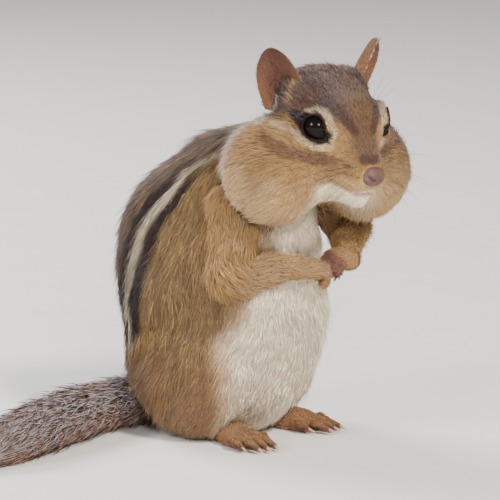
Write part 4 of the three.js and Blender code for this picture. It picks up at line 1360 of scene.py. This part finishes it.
def tail_place(at, angle, share):
    """Places round the tail at a share of the way to its outline, and past its end, where they close in."""
    middle, half, tangent, side, top = tail_at(np.minimum(at, 1))
    beyond = np.maximum(at - 1, 0)[:, None] * 100
    ring = side * (np.cos(angle) * half[:, 0])[:, None] + top * (np.sin(angle) * half[:, 1])[:, None]
    return middle + tangent * beyond + ring * share[:, None] * np.maximum(0.15, 1 - 0.11 * beyond)


def tail_coat():
    """Long hair that leaves the tail's core backwards and ends about its outline, each with two rings of
    three points: rust below a dark band and a frosted tip."""
    count = TAIL_HAIRS
    t = draw.random(count) ** 0.9
    turn = draw.uniform(0, 2 * np.pi, count)
    reach = TAIL_HAIR_REACH * draw.uniform(0.7, 1.3, count)
    past_end = np.maximum(t + reach - 1, 0)
    end = np.minimum(t + reach, 1) + past_end * draw.uniform(0.1, 0.42, count)
    spread = draw.uniform(0.5, 1.1, count) + 0.3 * draw.random(count) ** 6
    lean = turn + 0.45 * draw.normal(size=count)
    risen = spread - TAIL_CORE
    start = tail_place(t, turn, np.full(count, TAIL_CORE * 0.9))
    first = tail_place(t + (end - t) * 0.3, turn * 0.7 + lean * 0.3, TAIL_CORE + risen * 0.5)
    second = tail_place(t + (end - t) * 0.68, turn * 0.3 + lean * 0.7, TAIL_CORE + risen * 0.85)
    tip = tail_place(end, lean, spread)
    out = unit(tail_place(t, turn, np.ones(count)) - tail_place(t, turn, np.zeros(count)))
    side = unit(np.cross(unit(tip - start), out))
    wide = (TAIL_HAIR_WIDE * draw.uniform(0.7, 1.3, count))[:, None]
    around = [-side * wide, side * wide, out * wide * 0.9]
    rings = [centre + way * share for centre, share in ((first, 1.0), (second, 0.7)) for way in around]
    points = np.stack([start, *rings, tip], 1)
    points[..., 2] = np.maximum(points[..., 2], FLOOR_GAP)
    own = 1 + 0.14 * draw.normal(size=(count, 1, 1))
    below = ramp(np.sin(turn), 0.1, -0.8)[:, None]
    root = np.tile(RUST * 0.55, (count, 1))
    under = np.tile(RUST * 0.9, (count, 1))
    dark = TAIL_DARK * (1 - below * 0.8) + RUST * 0.8 * below * 0.8
    frosted = TAIL_FROST * (1 - below * 0.7) + RUST * below * 0.7
    colours = np.stack([root, *[under] * 3, *[dark] * 3, frosted], 1) * own
    unwrapped = lay_out(np.stack([turn, t], -1), np.zeros(count, int))
    coat_piece("coat_tail", "fur_tail", points, TAIL_FACES, TAIL_PATCH, unwrapped, colours)


tail_coat()

# Eyes, lids, nose and lip


def ball(centre, radii, look, swell=0.0, rows=32, around=48):
    """An ellipsoid with its poles along a look direction, raised by swell near the front pole."""
    pole = unit(np.asarray(look, float))
    side = unit(np.cross(pole, (0, 0, 1)))
    top = np.cross(side, pole)
    slant = np.linspace(0, np.pi, rows)[:, None]
    turn = np.linspace(0, 2 * np.pi, around, endpoint=False)[None]
    raised = 1 + swell * np.exp(-((slant / 0.55) ** 2))
    way = (
        pole * (np.cos(slant) * raised)[..., None]
        + side * (np.sin(slant) * np.cos(turn) * raised)[..., None]
        + top * (np.sin(slant) * np.sin(turn) * raised)[..., None]
    )
    places = centre + way * radii
    return outward(shell(places[1:-1], places[0, 0], places[-1, 0]))


def lid_shell(side, around=12, rows=72):
    """An almond ring on the eyeball: an ellipse across the look direction with its front corner drawn out,
    and a section that is a thin rim on the eye and a skirt that flares down into the head."""
    look, forward, upward = eye_frame(side)
    orbit = EYE_RADIUS + LID_COVER - 0.05
    angle = np.linspace(0, 2 * np.pi, rows, endpoint=False)
    ahead = LID_OPENING[0] * np.cos(angle) + LID_CORNER * np.maximum(0, np.cos(angle)) ** 6
    above = LID_OPENING[1] * np.sin(angle)
    on_ball = np.sqrt(np.maximum(0, orbit**2 - ahead**2 - above**2))
    out = forward * ahead[:, None] + upward * above[:, None] + look * on_ball[:, None]
    rim = eye_centre(side) + out
    along = unit(np.roll(rim, -1, 0) - np.roll(rim, 1, 0))
    out = unit(out - along * (out * along).sum(1)[:, None])
    turn = np.linspace(0, 2 * np.pi, around, endpoint=False)
    rise = np.sin(turn)[None]
    spread = 0.42 * np.cos(turn)[None] + 0.3
    drop = np.where(rise > 0, 0.3 * rise, 0.9 * rise)
    places = rim[:, None] + out[:, None] * spread[..., None] + look * drop[..., None]
    closed = grid_faces(rows + 1, around) % (rows * around)
    return outward(in_room((places.reshape(-1, 3), closed, NO_TRIANGLES)))


NOSTRIL = [(1.0, -2.1, -0.7), (1.9, -1.9, -0.3), (2.9, -1.0, 0.3)]


def nose_shell():
    """A rounded pad: an ellipsoid with a groove down its middle and a nostril dented in each side."""
    points, quads, triangles = ball(NOSE_AT, NOSE_RADII * NOSE_SWELL, (0, -1, 0.1), rows=40, around=56)
    local = points - NOSE_AT
    x, y, z = local.T
    groove = 0.45 * np.exp(-((x / 0.35) ** 2)) * ramp(z, 1.2, -0.6) * ramp(y, 0, -1)
    dent = 1.3 * np.exp(-((from_line(mirrored(local), NOSTRIL) / 0.62) ** 2))
    shoulder = 0.22 * np.exp(-(((np.abs(x) - 1.7) / 0.8) ** 2)) * ramp(z, -0.6, 1.4)
    return in_room((points + unit(local) * (shoulder - groove - dent)[:, None], quads, triangles))


def lip_shell():
    """A tube under the mouth's line that tapers to both corners."""
    shares = np.linspace(-0.55, 0.55, 21)
    radii = 0.42 * np.sqrt(np.maximum(0.02, 1 - (shares / 0.58) ** 2))
    line = mouth_curve(shares, drop=0.75, sunk=0.35)
    return in_room(outward(tube(line, radii, around=10, up=(0, -1, 0.2))))


for side, name in SIDE_NAME.items():
    eye_ball = ball(eye_centre(side), [EYE_RADIUS - 0.02] * 3, EYE_LOOK * (side, 1, 1), swell=0.03)
    add_piece(f"eyeball_{name}", in_room(eye_ball), eye_finish, "eye", replaces=[f"eye_{name}"])
    add_piece(f"eyelids_{name}", lid_shell(side), lid_finish, "fur_crown")
add_piece("nose_pad", nose_shell(), nose_finish, "nose_skin", replaces=["nose"])
add_piece("lower_lip", lip_shell(), lip_finish, "nose_skin")

# Claws and whiskers


def claw(start, end, radius, sag):
    """A bent tapering horn from its root to its point, humped upwards by sag."""
    t = np.linspace(0, 1, 9)
    points = start + (end - start) * t[:, None]
    points[:, 2] += sag * 4 * t * (1 - t)
    return outward(tube(points, radius * (1 - t) ** 0.7, flat=1.2))


def all_claws():
    """Four claws on each paw and five on each foot, each from a little inside the end of its digit."""
    claws = []
    for side in SIDES:
        for number in range(4):
            *_, end, tip = finger_path(side, number)
            claws.append(claw(end + (end - tip) * 0.2, tip, PAW_CLAW_RADIUS, sag=0.0))
        for number in range(5):
            *_, end, tip = toe_path(side, number)
            claws.append(claw(end + (end - tip) * 0.15, tip, TOE_CLAW_RADIUS, sag=0.25))
    towards_tip = np.tile(np.linspace(0, 1, len(claws[0][0])), len(claws))
    return gather(claws), mix(CLAW_ROOT, CLAW_TIP, towards_tip)


def whisker(root, way, length, droop, radius):
    """A fine hair that leaves its root along a way, bends down and back, and tapers to a point."""
    t = np.linspace(0, 1, 12)[:, None]
    bend = np.array([0, 0.35, -1.0]) * droop
    points = root + way * length * t + bend * length * t**2
    return tube(points, radius * (1 - 0.85 * t[:, 0]), around=4)


WHISKER_ROWS, WHISKER_COLUMNS, BROW_HAIRS = 4, 5, 3
WHISKER_LENGTHS, WHISKER_DROOPS, WHISKER_RADIUS = (17, 29), (0.12, 0.36), 0.085
BROW_HAIR_LENGTHS, BROW_HAIR_DROOP, BROW_HAIR_RADIUS = (9, 14), 0.15, 0.06


def all_whiskers():
    """Four rows on each whisker pad, and three above each eye."""
    draw = np.random.default_rng(41)
    hairs = []
    for side in SIDES:
        for row in range(WHISKER_ROWS):
            for column in range(WHISKER_COLUMNS):
                root = [side * (4.0 + 0.85 * column), -14.6 + 1.5 * column, -7.4 - 1.5 * row + 0.2 * column]
                way = np.array([side * (0.8 + 0.06 * column), -0.05 + 0.14 * column, 0.12 - 0.24 * row])
                way = unit(way + draw.normal(size=3) * 0.1)
                length = draw.uniform(*WHISKER_LENGTHS) * (1 - 0.07 * row)
                hairs.append(whisker(root, way, length, draw.uniform(*WHISKER_DROOPS), WHISKER_RADIUS))
        for number in range(BROW_HAIRS):
            way = unit(np.array([side * 0.6, -0.35 + 0.3 * number, 0.9]))
            root = [side * 9.6, -1.5 + 1.2 * number, 6.0]
            length = draw.uniform(*BROW_HAIR_LENGTHS)
            hairs.append(whisker(root, way, length, BROW_HAIR_DROOP, BROW_HAIR_RADIUS))
    return in_room(gather(hairs))


claws, claw_colours = all_claws()
add_piece("claws", claws, claw_finish, "fur_foot", claw_colours)
whiskers = all_whiskers()
add_piece("whiskers", whiskers, whisker_finish, "fur_crown", np.tile(WHISKER, (len(whiskers[0]), 1)))

# The stage, in metres

CAMERA_BACK = np.array([-0.807, -0.565, 0.174])
CAMERA_RIGHT = np.array([0.574, -0.819, 0.0])
CAMERA_UP = np.array([0.142, 0.0996, 0.985])
CAMERA_AWAY = 1.2
CAMERA_LENS = 288.0
SENSOR_WIDTH = 36.0
FRAME_MIDDLE = (CAMERA_RIGHT * 8.4 + CAMERA_UP * 53.4) * MM
MIDDLE = (0.0, 0.0, 0.06)
FLOOR_HALF = 1500.0  # in millimetres
FLOOR_HEIGHT = -0.05  # in millimetres
SKY_COLOUR = (0.86, 0.9, 1.0, 1)
SKY_STRENGTH = 0.36

# Square soft lamps: place, size, power and colour
LAMPS = {
    "key": ((-0.35, -0.9, 0.9), 0.22, 23.0, (1.0, 0.95, 0.87)),
    "front": ((-0.8, -0.69, 0.5), 0.2, 7.0, (1.0, 0.97, 0.93)),
    "fill": ((-1.0, 0.35, 0.5), 0.3, 9.0, (0.94, 0.97, 1.0)),
    "rim": ((0.15, 0.85, 0.65), 0.4, 15.0, (0.96, 0.97, 1.0)),
}


def stand(name, data, at, away):
    """A camera or lamp in the scene, that looks along a direction."""
    holder = bpy.data.objects.new(name, data)
    holder.location = at
    holder.rotation_euler = Vector(away).to_track_quat("-Z", "Y").to_euler()
    bpy.context.scene.collection.objects.link(holder)
    return holder


lens = bpy.data.cameras.new("photo_view")
lens.lens, lens.sensor_width = CAMERA_LENS, SENSOR_WIDTH
lens.clip_start, lens.clip_end = 0.01, 50.0
camera = stand("photo_view", lens, FRAME_MIDDLE + CAMERA_BACK * CAMERA_AWAY, -CAMERA_BACK)
bpy.context.scene.camera = camera

corners = np.array([(-1, -1, 0), (1, -1, 0), (1, 1, 0), (-1, 1, 0)]) * FLOOR_HALF + (0, 0, FLOOR_HEIGHT)
floor = make_mesh("floor", (corners, np.array([[0, 1, 2, 3]])), smooth=False)
floor.data.materials.append(floor_finish)

world = bpy.data.worlds.new("pale_room")
world.use_nodes = True
fill(world.node_tree, world.node_tree.nodes["Background"], {"Color": SKY_COLOUR, "Strength": SKY_STRENGTH})
bpy.context.scene.world = world

for name, (at, size, power, colour) in LAMPS.items():
    lamp = bpy.data.lights.new(name, "AREA")
    lamp.size, lamp.energy, lamp.color = size, power, colour
    stand(name, lamp, at, np.subtract(MIDDLE, at))
